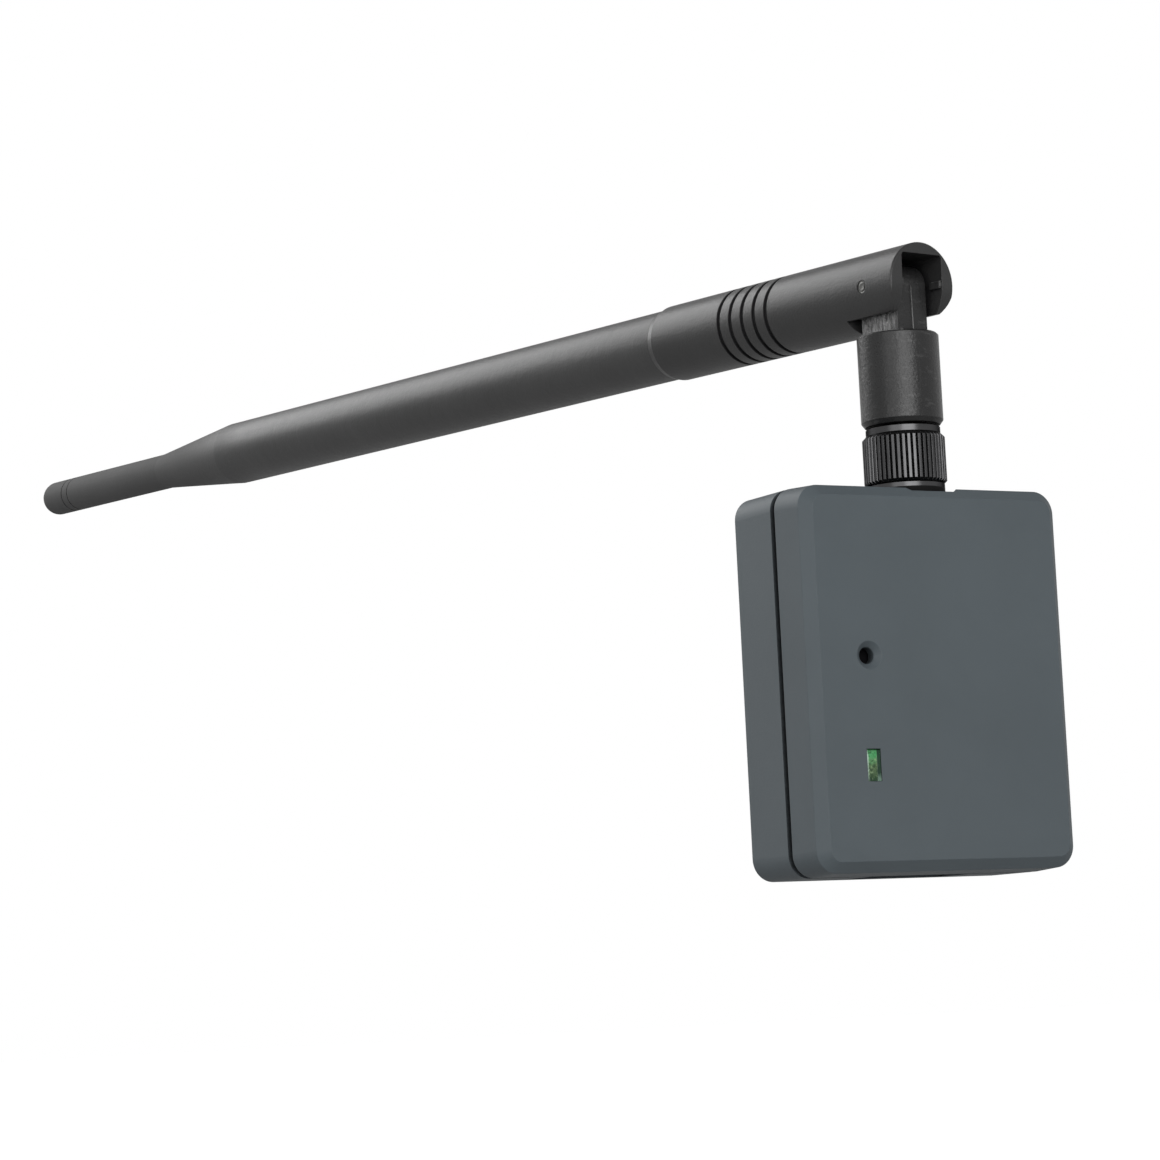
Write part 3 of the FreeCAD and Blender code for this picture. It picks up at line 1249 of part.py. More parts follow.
def check_document():
    """Stops if any object failed or any sub-part has no valid solid."""
    for item in doc.Objects:
        bad = [word for word in ("Invalid", "Error") if word in item.State]
        if bad:
            raise RuntimeError("%s is %s" % (item.Name, bad))
    for node in nodes:
        if node.Shape.isNull() or not node.Shape.isValid() or not node.Shape.Solids:
            raise RuntimeError("%s has no valid solid" % node.Label)


def write_parts():
    """Writes each sub-part to its own file."""
    os.makedirs("parts", exist_ok=True)
    for node in nodes:
        node.Shape.exportStep("parts/%s.step" % node.Label)
        print("%s solids %d volume %.2f" % (node.Label, len(node.Shape.Solids), node.Shape.Volume))


make_front_shell()
make_rear_shell()
make_case_screws()
make_circuit_board()
make_board_parts()
make_jack()
make_coupling_nut()
make_antenna_plug()
make_swivel_sleeve()
make_base_tube()
make_hinge_pin()
make_mast()
make_tip_cap()
make_radiator()
doc.recompute()
check_document()
write_parts()
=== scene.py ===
"""Visual model of a small garage door controller with a folding rod antenna."""
import json
import logging
import math
from dataclasses import dataclass, field
from enum import Enum
from typing import Callable

import bpy
from mathutils import Matrix, Vector

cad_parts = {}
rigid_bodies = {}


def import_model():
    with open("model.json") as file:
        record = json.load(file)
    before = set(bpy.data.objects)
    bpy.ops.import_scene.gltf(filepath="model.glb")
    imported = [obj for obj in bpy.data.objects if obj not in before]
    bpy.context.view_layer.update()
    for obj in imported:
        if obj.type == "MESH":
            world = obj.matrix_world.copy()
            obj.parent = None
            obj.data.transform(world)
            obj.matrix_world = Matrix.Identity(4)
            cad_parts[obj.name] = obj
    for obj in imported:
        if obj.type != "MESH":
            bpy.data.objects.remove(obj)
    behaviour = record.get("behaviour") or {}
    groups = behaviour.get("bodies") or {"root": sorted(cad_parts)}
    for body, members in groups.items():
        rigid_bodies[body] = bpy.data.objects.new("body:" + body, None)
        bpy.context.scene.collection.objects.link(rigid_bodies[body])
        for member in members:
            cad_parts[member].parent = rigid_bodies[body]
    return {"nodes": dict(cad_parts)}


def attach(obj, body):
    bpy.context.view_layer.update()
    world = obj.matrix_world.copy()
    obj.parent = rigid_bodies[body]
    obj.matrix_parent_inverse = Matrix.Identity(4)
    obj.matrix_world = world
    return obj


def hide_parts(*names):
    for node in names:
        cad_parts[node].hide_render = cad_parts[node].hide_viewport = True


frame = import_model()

LOG = logging.getLogger("garage_controller")
MM = 0.001
Colour = tuple[float, float, float]
Point = tuple[float, float, float]

# The middle of the hinge pin, the way the pin points and the way the rod points, as in the CAD
HINGE: Point = (0.698 * MM, -9.433 * MM, 52.74 * MM)
ACROSS: Point = (0.99233, 0.12360, 0.0)
HEADING: Point = (-0.12356, 0.99197, 0.02687)

# New pieces are shaded smooth where their faces meet at less than this
SMOOTH_BELOW = math.radians(40.0)


def rgba(colour: Colour, alpha: float = 1.0) -> tuple[float, float, float, float]:
    """Returns a colour with its alpha added."""
    return (colour[0], colour[1], colour[2], alpha)


# Node sheets

class NodeSheet:
    """A node tree with short calls for placing and joining its nodes."""

    def __init__(self, tree: bpy.types.NodeTree) -> None:
        """Takes the tree that the nodes go into."""
        self.tree = tree

    def add(self, kind: str, **values: object) -> bpy.types.Node:
        """Places one node.

        Args:
            kind: the node's type name.
            values: settings of the node, or of its input sockets with spaces as underscores.

        Returns:
            The new node.
        """
        node = self.tree.nodes.new(kind)
        for name, value in values.items():
            socket = node.inputs.get(name.replace("_", " "))
            if socket is None:
                setattr(node, name, value)
            else:
                self.feed(socket, value)
        return node

    def feed(self, socket: bpy.types.NodeSocket, value: object) -> None:
        """Feeds an input from an output socket, or sets its value.

        Args:
            socket: the input.
            value: an output socket, or the value to set.
        """
        if isinstance(value, bpy.types.NodeSocket):
            self.join(value, socket)
        else:
            socket.default_value = value

    def join(self, source: bpy.types.NodeSocket, target: bpy.types.NodeSocket) -> None:
        """Joins an output to an input."""
        self.tree.links.new(source, target)

    def math(self, operation: str, first: object, second: object = 0.0) -> bpy.types.NodeSocket:
        """Places a Math node.

        Args:
            operation: the name of the operation.
            first: a socket or a number.
            second: a socket or a number.

        Returns:
            Its value socket.
        """
        node = self.tree.nodes.new("ShaderNodeMath")
        node.operation = operation
        for socket, value in zip(node.inputs, (first, second)):
            self.feed(socket, value)
        return node.outputs[0]

    def vector(self, operation: str, first: object, second: object) -> bpy.types.NodeSocket:
        """Places a Vector Math node.

        Args:
            operation: the name of the operation.
            first: a socket or a vector.
            second: a socket or a vector.

        Returns:
            Its Value socket for a dot product, else its Vector socket.
        """
        node = self.tree.nodes.new("ShaderNodeVectorMath")
        node.operation = operation
        for socket, value in zip(node.inputs, (first, second)):
            self.feed(socket, value)
        return node.outputs["Value" if operation == "DOT_PRODUCT" else "Vector"]

    def span(self, value: bpy.types.NodeSocket, low: float, high: float,
             to_low: float = 0.0, to_high: float = 1.0) -> bpy.types.NodeSocket:
        """Spreads a value from one span to another, held at the ends.

        Args:
            value: the socket to spread.
            low: where the span begins.
            high: where it ends.
            to_low: the result at low.
            to_high: the result at high.

        Returns:
            The result's socket.
        """
        node = self.tree.nodes.new("ShaderNodeMapRange")
        node.inputs[1].default_value = low
        node.inputs[2].default_value = high
        node.inputs[3].default_value = to_low
        node.inputs[4].default_value = to_high
        self.join(value, node.inputs[0])
        return node.outputs[0]

    def blend(self, share: object, first: object, second: object) -> bpy.types.NodeSocket:
        """Mixes two colours.

        Args:
            share: a socket or number, how much of the second shows.
            first: a socket or colour.
            second: a socket or colour.

        Returns:
            The mixed colour's socket.
        """
        node = self.tree.nodes.new("ShaderNodeMix")
        node.data_type = "RGBA"
        for socket, value in ((node.inputs[0], share), (node.inputs[6], first), (node.inputs[7], second)):
            self.feed(socket, rgba(value) if isinstance(value, tuple) else value)
        return node.outputs[2]


class Effect(Enum):
    """The effects that several finishes share."""

    GRAIN = "moulded_grain"
    MOTTLE = "soft_mottle"
    EDGES = "rubbed_edges"
    SCRATCHES = "fine_scratches"
    CREVICE = "crevice_shade"


class EffectShelf:
    """Builds each shared effect once, as a node group with named sockets."""

    def __init__(self) -> None:
        """Starts with no group made."""
        self.made: dict[Effect, bpy.types.NodeTree] = {}

    def group(self, effect: Effect) -> bpy.types.NodeTree:
        """Returns the group of an effect, made when it is first asked for."""
        if effect not in self.made:
            build = {
                Effect.GRAIN: self._grain,
                Effect.MOTTLE: self._mottle,
                Effect.EDGES: self._edges,
                Effect.SCRATCHES: self._scratches,
                Effect.CREVICE: self._crevice,
            }[effect]
            self.made[effect] = build(effect.value)
        return self.made[effect]

    @staticmethod
    def _start(name: str, inputs: dict[str, tuple[str, object]], outputs: dict[str, str]
               ) -> tuple[NodeSheet, bpy.types.Node, bpy.types.Node]:
        """Makes an empty group.

        Args:
            name: the group's name.
            inputs: socket type and start value by socket name.
            outputs: socket type by socket name.

        Returns:
            The group's sheet, its input node and its output node.
        """
        tree = bpy.data.node_groups.new(name, "ShaderNodeTree")
        for label, (kind, start) in inputs.items():
            socket = tree.interface.new_socket(name=label, in_out="INPUT", socket_type=kind)
            if start is not None:
                socket.default_value = start
        for label, kind in outputs.items():
            tree.interface.new_socket(name=label, in_out="OUTPUT", socket_type=kind)
        return NodeSheet(tree), tree.nodes.new("NodeGroupInput"), tree.nodes.new("NodeGroupOutput")

    def _grain(self, name: str) -> bpy.types.NodeTree:
        """Makes the fine pebbled grain of a spark-eroded mould.

        Args:
            name: the group's name.

        Returns:
            The group, with a height and a fleck mask.
        """
        sheet, given, result = self._start(
            name, {"Place": ("NodeSocketVector", None), "Size": ("NodeSocketFloat", 4000.0)},
            {"Height": "NodeSocketFloat", "Fleck": "NodeSocketFloat"})
        pebble = sheet.add("ShaderNodeTexVoronoi", feature="SMOOTH_F1", Smoothness=0.7,
                           Vector=given.outputs["Place"], Scale=given.outputs["Size"])
        fine = sheet.add("ShaderNodeTexNoise", Vector=given.outputs["Place"], Detail=3.0, Roughness=0.6,
                         Scale=sheet.math("MULTIPLY", given.outputs["Size"], 1.7))
        height = sheet.math("ADD", pebble.outputs["Distance"], fine.outputs["Fac"])
        sheet.join(sheet.math("MULTIPLY", height, 0.5), result.inputs["Height"])
        sheet.join(sheet.span(fine.outputs["Fac"], 0.35, 0.7), result.inputs["Fleck"])
        return sheet.tree

    def _mottle(self, name: str) -> bpy.types.NodeTree:
        """Makes the slow drift of tone over a surface.

        Args:
            name: the group's name.

        Returns:
            The group, with one drift mask.
        """
        sheet, given, result = self._start(
            name, {"Place": ("NodeSocketVector", None), "Size": ("NodeSocketFloat", 90.0)},
            {"Drift": "NodeSocketFloat"})
        cloud = sheet.add("ShaderNodeTexNoise", Vector=given.outputs["Place"], Detail=4.0, Roughness=0.55,
                          Scale=given.outputs["Size"], Distortion=0.4)
        sheet.join(sheet.span(cloud.outputs["Fac"], 0.3, 0.7), result.inputs["Drift"])
        return sheet.tree

    def _edges(self, name: str) -> bpy.types.NodeTree:
        """Makes the mask of edges that hands and tools have rubbed.

        Args:
            name: the group's name.

        Returns:
            The group, with the softened normal and the edge mask.
        """
        sheet, given, result = self._start(
            name, {"Place": ("NodeSocketVector", None), "Radius": ("NodeSocketFloat", 0.0002),
                   "Breakup": ("NodeSocketFloat", 900.0)},
            {"Edge": "NodeSocketFloat", "Soft Normal": "NodeSocketVector"})
        soft = sheet.add("ShaderNodeBevel", samples=6, Radius=given.outputs["Radius"])
        hard = sheet.add("ShaderNodeNewGeometry")
        match = sheet.vector("DOT_PRODUCT", soft.outputs["Normal"], hard.outputs["Normal"])
        bare = sheet.span(match, 0.995, 0.86)
        patch = sheet.add("ShaderNodeTexNoise", Vector=given.outputs["Place"], Detail=3.0,
                          Scale=given.outputs["Breakup"])
        broken = sheet.math("MULTIPLY", bare, sheet.span(patch.outputs["Fac"], 0.35, 0.65))
        sheet.join(broken, result.inputs["Edge"])
        sheet.join(soft.outputs["Normal"], result.inputs["Soft Normal"])
        return sheet.tree

    def _scratches(self, name: str) -> bpy.types.NodeTree:
        """Makes the short hairline marks of handling.

        Args:
            name: the group's name.

        Returns:
            The group, with one mask of marks.
        """
        sheet, given, result = self._start(
            name, {"Place": ("NodeSocketVector", None), "Size": ("NodeSocketFloat", 300.0),
                   "Stretch": ("NodeSocketVector", (1.0, 1.0, 12.0))},
            {"Marks": "NodeSocketFloat"})
        drawn = sheet.vector("MULTIPLY", given.outputs["Place"], given.outputs["Stretch"])
        lines = sheet.add("ShaderNodeTexNoise", Vector=drawn, Detail=5.0, Roughness=0.7,
                          Scale=given.outputs["Size"])
        sheet.join(sheet.span(lines.outputs["Fac"], 0.58, 0.72), result.inputs["Marks"])
        return sheet.tree

    def _crevice(self, name: str) -> bpy.types.NodeTree:
        """Makes the mask of grooves and corners that the light does not reach, for painted shade.

        Args:
            name: the group's name.

        Returns:
            The group, with one mask that is 1 deep in a crevice.
        """
        sheet, given, result = self._start(
            name, {"Place": ("NodeSocketVector", None), "Reach": ("NodeSocketFloat", 0.0012)},
            {"Deep": "NodeSocketFloat"})
        # Painted shade: ambient occlusion finds grooves, corners and hollows, and the mask darkens them.
        open_sky = sheet.add("ShaderNodeAmbientOcclusion", samples=6, Distance=given.outputs["Reach"])
        patch = sheet.add("ShaderNodeTexNoise", Vector=given.outputs["Place"], Detail=2.0, Scale=1400.0)
        loose = sheet.math("MULTIPLY", sheet.math("SUBTRACT", patch.outputs["Fac"], 0.5), 0.15)
        level = sheet.math("ADD", open_sky.outputs["AO"], loose)
        sheet.join(sheet.span(level, 0.82, 0.45), result.inputs["Deep"])
        return sheet.tree


SHELF = EffectShelf()


# Finishes

@dataclass(frozen=True)
class Finish:
    """What every finish of this object has."""

    name: str
    colour: Colour

    def start(self) -> tuple[bpy.types.Material, NodeSheet, bpy.types.Node, bpy.types.NodeSocket]:
        """Makes an empty material.

        Returns:
            The material, its sheet, its Principled node and the object's own coordinates.
        """
        material = bpy.data.materials.new(self.name)
        material.use_nodes = True
        sheet = NodeSheet(material.node_tree)
        shader = material.node_tree.nodes["Principled BSDF"]
        place = sheet.add("ShaderNodeTexCoord").outputs["Object"]
        return material, sheet, shader, place

    @staticmethod
    def effect(sheet: NodeSheet, effect: Effect, place: bpy.types.NodeSocket,
               **values: object) -> bpy.types.Node:
        """Places a shared effect with its own values.

        Args:
            sheet: the material's sheet.
            effect: which effect.
            place: the coordinates that it reads.
            values: its other inputs.

        Returns:
            The group node.
        """
        return sheet.add("ShaderNodeGroup", node_tree=SHELF.group(effect), Place=place, **values)

    def make(self) -> bpy.types.Material:
        """Returns the finished material."""
        raise NotImplementedError


@dataclass(frozen=True)
class MouldedPlastic(Finish):
    """A moulded plastic with grain, a slow drift of tone, rubbed edges and painted shade in its crevices.
    """

    roughness: float = 0.5
    specular: float = 0.5
    grain_size: float = 3500.0
    grain_depth: float = 0.00001
    wave_size: float = 420.0
    wave_depth: float = 0.0
    drift_size: float = 70.0
    drift: float = 0.06
    fleck: float = 0.08
    mark_size: float = 260.0
    mark_share: float = 0.0
    mark_stretch: Point = (1.0, 1.0, 12.0)
    torn_colour: Colour = (0.36, 0.36, 0.36)
    edge_colour: Colour = (0.4, 0.4, 0.4)
    edge_share: float = 0.25
    edge_radius: float = 0.00012
    crevice_shade_colour: Colour = (0.004, 0.004, 0.005)
    crevice_shade_share: float = 0.85
    crevice_shade_reach: float = 0.0012
    roughness_spread: float = 0.08

    def make(self) -> bpy.types.Material:
        """Returns the plastic as a material."""
        material, sheet, shader, place = self.start()
        self.fill(sheet, shader, place)
        return material

    def rough_add(self, sheet: NodeSheet, place: bpy.types.NodeSocket) -> object:
        """Returns what is added to the roughness at each place."""
        return 0.0

    def torn(self, sheet: NodeSheet, place: bpy.types.NodeSocket) -> object:
        """Returns the mask of coarse, light places."""
        return 0.0

    def fill(self, sheet: NodeSheet, shader: bpy.types.Node, place: bpy.types.NodeSocket) -> None:
        """Lays the plastic's nodes.

        Args:
            sheet: the material's sheet.
            shader: its Principled node.
            place: the coordinates that the patterns read.
        """
        grain = self.effect(sheet, Effect.GRAIN, place, Size=self.grain_size)
        cloud = self.effect(sheet, Effect.MOTTLE, place, Size=self.drift_size)
        edges = self.effect(sheet, Effect.EDGES, place, Radius=self.edge_radius)
        marks = self.effect(sheet, Effect.SCRATCHES, place, Size=self.mark_size, Stretch=self.mark_stretch)
        torn = self.torn(sheet, place)
        dark = tuple(c * (1.0 - self.drift) for c in self.colour)
        light = tuple(c * (1.0 + self.drift) for c in self.colour)
        tone = sheet.blend(cloud.outputs["Drift"], dark, light)
        speck = tuple(min(1.0, c * 1.5 + 0.02) for c in self.colour)
        tone = sheet.blend(sheet.math("MULTIPLY", grain.outputs["Fleck"], self.fleck), tone, speck)
        worn = sheet.math("MULTIPLY", edges.outputs["Edge"], self.edge_share)
        tone = sheet.blend(worn, tone, self.edge_colour)
        tone = sheet.blend(sheet.math("MULTIPLY", marks.outputs["Marks"], self.mark_share), tone,
                           self.edge_colour)
        tone = sheet.blend(torn, tone, self.torn_colour)
        # Painted shade: crevices, grooves and hollows are blended towards a near-black colour.
        crevice = self.effect(sheet, Effect.CREVICE, place, Reach=self.crevice_shade_reach)
        deep = sheet.math("MULTIPLY", crevice.outputs["Deep"], self.crevice_shade_share)
        tone = sheet.blend(deep, tone, self.crevice_shade_colour)
        sheet.join(tone, shader.inputs["Base Color"])
        half = self.roughness_spread / 2.0
        rough = sheet.span(grain.outputs["Fleck"], 0.0, 1.0, self.roughness - half, self.roughness + half)
        rough = sheet.math("SUBTRACT", rough, sheet.math("MULTIPLY", marks.outputs["Marks"], 0.06))
        rough = sheet.math("ADD", rough, sheet.math("MULTIPLY", deep, 0.3))
        rough = sheet.math("ADD", rough, self.rough_add(sheet, place))
        sheet.join(rough, shader.inputs["Roughness"])
        wave = self.effect(sheet, Effect.MOTTLE, place, Size=self.wave_size)
        slow = sheet.add("ShaderNodeBump", Strength=1.0, Distance=self.wave_depth,
                         Height=wave.outputs["Drift"], Normal=edges.outputs["Soft Normal"])
        height = sheet.math("ADD", grain.outputs["Height"], sheet.math("MULTIPLY", torn, 6.0))
        bump = sheet.add("ShaderNodeBump", Strength=1.0, Distance=self.grain_depth,
                         Height=height, Normal=slow.outputs["Normal"])
        sheet.join(bump.outputs["Normal"], shader.inputs["Normal"])
        shader.inputs["Specular IOR Level"].default_value = self.specular


@dataclass(frozen=True)
class RodPlastic(MouldedPlastic):
    """The antenna's satin plastic, which turns dull towards the thin end."""

    origin: Point = HINGE
    heading: Point = HEADING
    dull_from: float = 0.165
    dull_to: float = 0.190
    dull: float = 0.35
    lighter: float = 0.1

    def _end(self, sheet: NodeSheet, place: bpy.types.NodeSocket, most: float) -> bpy.types.NodeSocket:
        """Returns a value that grows from 0 on the rod to its most at the thin end."""
        along = sheet.vector("DOT_PRODUCT", place, self.heading)
        start = sum(a * b for a, b in zip(self.origin, self.heading))
        return sheet.span(along, start + self.dull_from, start + self.dull_to, 0.0, most)

    def rough_add(self, sheet: NodeSheet, place: bpy.types.NodeSocket) -> object:
        """Returns the dullness of the thin end."""
        return self._end(sheet, place, self.dull)

    def torn(self, sheet: NodeSheet, place: bpy.types.NodeSocket) -> object:
        """Returns the mask that makes the thin end lighter."""
        return self._end(sheet, place, self.lighter)


@dataclass(frozen=True)
class TonguePlastic(MouldedPlastic):
    """The swivel's plastic, torn coarse on the broad faces of its tongue."""

    origin: Point = HINGE
    across: Point = ACROSS
    root: float = 0.0463
    face: float = 0.00272
    coarse_size: float = 1500.0
    coarse_stretch: Point = (1.0, 1.0, 0.35)

    def torn(self, sheet: NodeSheet, place: bpy.types.NodeSocket) -> object:
        """Returns the mask of coarse marks on the broad faces."""
        side = sheet.vector("DOT_PRODUCT", place, self.across)
        middle = sum(a * b for a, b in zip(self.origin, self.across))
        offset = sheet.math("ABSOLUTE", sheet.math("SUBTRACT", side, middle))
        height = sheet.add("ShaderNodeSeparateXYZ", Vector=place).outputs["Z"]
        broad = sheet.math("MULTIPLY", sheet.span(offset, self.face, self.face + 0.00005),
                           sheet.span(height, self.root, self.root + 0.0001))
        drawn = sheet.vector("MULTIPLY", place, self.coarse_stretch)
        coarse = sheet.add("ShaderNodeTexNoise", Vector=drawn, Scale=self.coarse_size, Detail=4.0,
                           Roughness=0.75)
        lumps = sheet.span(coarse.outputs["Fac"], 0.38, 0.66, 0.12, 1.0)
        return sheet.math("MULTIPLY", broad, lumps)


@dataclass(frozen=True)
class PlatedMetal(Finish):
    """A plated or bare metal with turning marks, tarnish, bright edges and painted shade in its crevices.
    """

    roughness: float = 0.25
    spread: float = 0.12
    mark_size: float = 900.0
    stretch: Point = (1.0, 1.0, 10.0)
    mark_depth: float = 0.000003
    tarnish: Colour = (0.1, 0.1, 0.1)
    tarnish_share: float = 0.3
    edge_colour: Colour = (0.7, 0.7, 0.7)
    edge_share: float = 0.4
    edge_radius: float = 0.0001
    crevice_shade_reach: float = 0.0006
    crevice_shade_share: float = 0.7
    rim_tint: Colour = (1.0, 1.0, 1.0)

    def make(self) -> bpy.types.Material:
        """Returns the metal as a material."""
        material, sheet, shader, place = self.start()
        marks = self.effect(sheet, Effect.SCRATCHES, place, Size=self.mark_size, Stretch=self.stretch)
        cloud = self.effect(sheet, Effect.MOTTLE, place, Size=400.0)
        edges = self.effect(sheet, Effect.EDGES, place, Radius=self.edge_radius)
        dull = sheet.math("MULTIPLY", cloud.outputs["Drift"], self.tarnish_share)
        tone = sheet.blend(dull, self.colour, self.tarnish)
        tone = sheet.blend(sheet.math("MULTIPLY", edges.outputs["Edge"], self.edge_share), tone,
                           self.edge_colour)
        # Painted shade: crevices and hollows are blended towards near black.
        crevice = self.effect(sheet, Effect.CREVICE, place, Reach=self.crevice_shade_reach)
        deep = sheet.math("MULTIPLY", crevice.outputs["Deep"], self.crevice_shade_share)
        tone = sheet.blend(deep, tone, (0.004, 0.004, 0.004))
        sheet.join(tone, shader.inputs["Base Color"])
        rough = sheet.span(marks.outputs["Marks"], 0.0, 1.0, self.roughness, self.roughness + self.spread)
        sheet.join(rough, shader.inputs["Roughness"])
        shader.inputs["Metallic"].default_value = 1.0
        shader.inputs["Specular Tint"].default_value = rgba(self.rim_tint)
        bump = sheet.add("ShaderNodeBump", Strength=0.6, Distance=self.mark_depth,
                         Height=marks.outputs["Marks"], Normal=edges.outputs["Soft Normal"])
        sheet.join(bump.outputs["Normal"], shader.inputs["Normal"])
        return material


@dataclass(frozen=True)
class BoardLacquer(Finish):
    """Green lacquer over copper tracks and glass weave."""

    track: Colour = (0.10, 0.36, 0.16)
    roughness: float = 0.3

    def make(self) -> bpy.types.Material:
        """Returns the board's lacquer as a material."""
        material, sheet, shader, place = self.start()
        cloud = self.effect(sheet, Effect.MOTTLE, place, Size=300.0)
        tracks = sheet.add("ShaderNodeTexBrick", Vector=place, Scale=420.0, Mortar_Size=0.03)
        weave = self.effect(sheet, Effect.GRAIN, place, Size=2200.0)
        tone = sheet.blend(sheet.span(tracks.outputs["Fac"], 0.4, 0.6), self.colour, self.track)
        tone = sheet.blend(sheet.math("MULTIPLY", cloud.outputs["Drift"], 0.3), tone,
                           tuple(c * 0.6 for c in self.colour))
        sheet.join(tone, shader.inputs["Base Color"])
        rough = sheet.span(weave.outputs["Fleck"], 0.0, 1.0, self.roughness, self.roughness + 0.15)
        sheet.join(rough, shader.inputs["Roughness"])
        bump = sheet.add("ShaderNodeBump", Strength=0.5, Distance=0.00002, Height=tracks.outputs["Fac"])
        sheet.join(bump.outputs["Normal"], shader.inputs["Normal"])
        return material


@dataclass(frozen=True)
class LitMoulding(Finish):
    """The clear guide in the window: green shows through it, with a painted highlight at its left, painted
    shade at its right and a painted shadow along its top, all glowing.
    """

    left: float = -0.01235
    foot: float = -0.01335
    width: float = 0.002
    height: float = 0.0041
    painted_highlight: Colour = (0.40, 0.52, 0.44)
    bright: Colour = (0.05, 0.25, 0.085)
    olive: Colour = (0.075, 0.125, 0.055)
    deep: Colour = (0.006, 0.030, 0.010)
    glow: float = 0.35

    def make(self) -> bpy.types.Material:
        """Returns the clear moulding, with its painted highlight and shade, as a material."""
        material, sheet, shader, place = self.start()
        split = sheet.add("ShaderNodeSeparateXYZ", Vector=place)
        wobble = sheet.add("ShaderNodeTexNoise", Vector=place, Scale=1500.0, Detail=4.0, Roughness=0.65)
        sway = sheet.math("SUBTRACT", wobble.outputs["Fac"], 0.5)
        across = sheet.span(split.outputs["X"], self.left, self.left + self.width)
        # Masks for painted light: a thin strip at the right edge and a thin line along the top.
        rim = sheet.span(across, 0.945, 0.955)
        lintel_shadow = sheet.span(split.outputs["Z"], self.foot + 0.972 * self.height,
                            self.foot + 0.978 * self.height)
        across = sheet.math("ADD", across, sheet.math("MULTIPLY", sway, 0.3))
        upward = sheet.span(split.outputs["Z"], self.foot, self.foot + self.height)
        upward = sheet.math("ADD", upward, sheet.math("MULTIPLY", sway, 0.5))
        tone = sheet.blend(sheet.span(upward, 0.05, 0.42), self.deep, self.olive)
        tone = sheet.blend(sheet.span(upward, 0.5, 0.8), tone, self.bright)
        clouds = sheet.add("ShaderNodeTexNoise", Vector=place, Scale=2600.0, Detail=3.0, Roughness=0.6)
        dark = sheet.span(clouds.outputs["Fac"], 0.5, 0.36, 0.0, 0.75)
        tone = sheet.blend(dark, tone, self.deep)
        light = sheet.span(clouds.outputs["Fac"], 0.58, 0.74, 0.0, 0.6)
        tone = sheet.blend(light, tone, (0.30, 0.42, 0.24))
        # Painted highlight: a pale strip down the left side.
        highlight_strip = sheet.math("MULTIPLY", sheet.span(across, 0.20, 0.34, 1.0, 0.0),
                           sheet.span(upward, 0.02, 0.35, 0.3, 1.0))
        highlight_strip = sheet.math("MULTIPLY", highlight_strip, sheet.span(clouds.outputs["Fac"], 0.36, 0.5, 0.55, 1.0))
        tone = sheet.blend(highlight_strip, tone, self.painted_highlight)
        # Painted shade on the right strip, drawn as the window's side wall: dark above, lighter at its
        # foot.
        wall = sheet.blend(sheet.span(upward, 0.24, 0.08), (0.022, 0.046, 0.032), (0.13, 0.20, 0.16))
        tone = sheet.blend(rim, tone, wall)
        # Painted shadow of the window's top edge: a near-black line along the top.
        tone = sheet.blend(lintel_shadow, tone, (0.003, 0.009, 0.005))
        sheet.join(tone, shader.inputs["Base Color"])
        # The whole pattern also glows, the painted highlight and shadow with it.
        sheet.join(tone, shader.inputs["Emission Color"])
        shader.inputs["Emission Strength"].default_value = self.glow
        sheet.join(sheet.span(wobble.outputs["Fac"], 0.3, 0.7, 0.12, 0.3), shader.inputs["Roughness"])
        bump = sheet.add("ShaderNodeBump", Strength=0.4, Distance=0.00003, Height=wobble.outputs["Fac"])
        sheet.join(bump.outputs["Normal"], shader.inputs["Normal"])
        return material


class Slot(Enum):
    """The finishes, each named for its material slot or for a part of one."""

    SHELL = "shell_plastic"
    ANTENNA = "antenna_plastic"
    NICKEL = "black_nickel"
    PIN = "pin_steel"
    SCREW = "screw_steel"
    WASHER = "washer_rubber"
    WHITE = "connector_white"
    GOLD = "contact_gold"
    BOARD = "board_green"
    CAN = "can_steel"
    CHIP = "chip_black"
    RELAY = "relay_blue"
    ALUMINIUM = "can_aluminium"
    FERRITE = "ferrite"
    LAMP = "lamp_white"
    CLEAR = "light_clear"
    HEADER = "header_black"
    CABLE = "cable_black"
    ROD = "rod_plastic"
    SWIVEL = "swivel_plastic"
    SEAM = "ridge_highlight_plastic"
    BURR = "burr_plastic"
    PLUNGER = "plunger_black_and_shade"


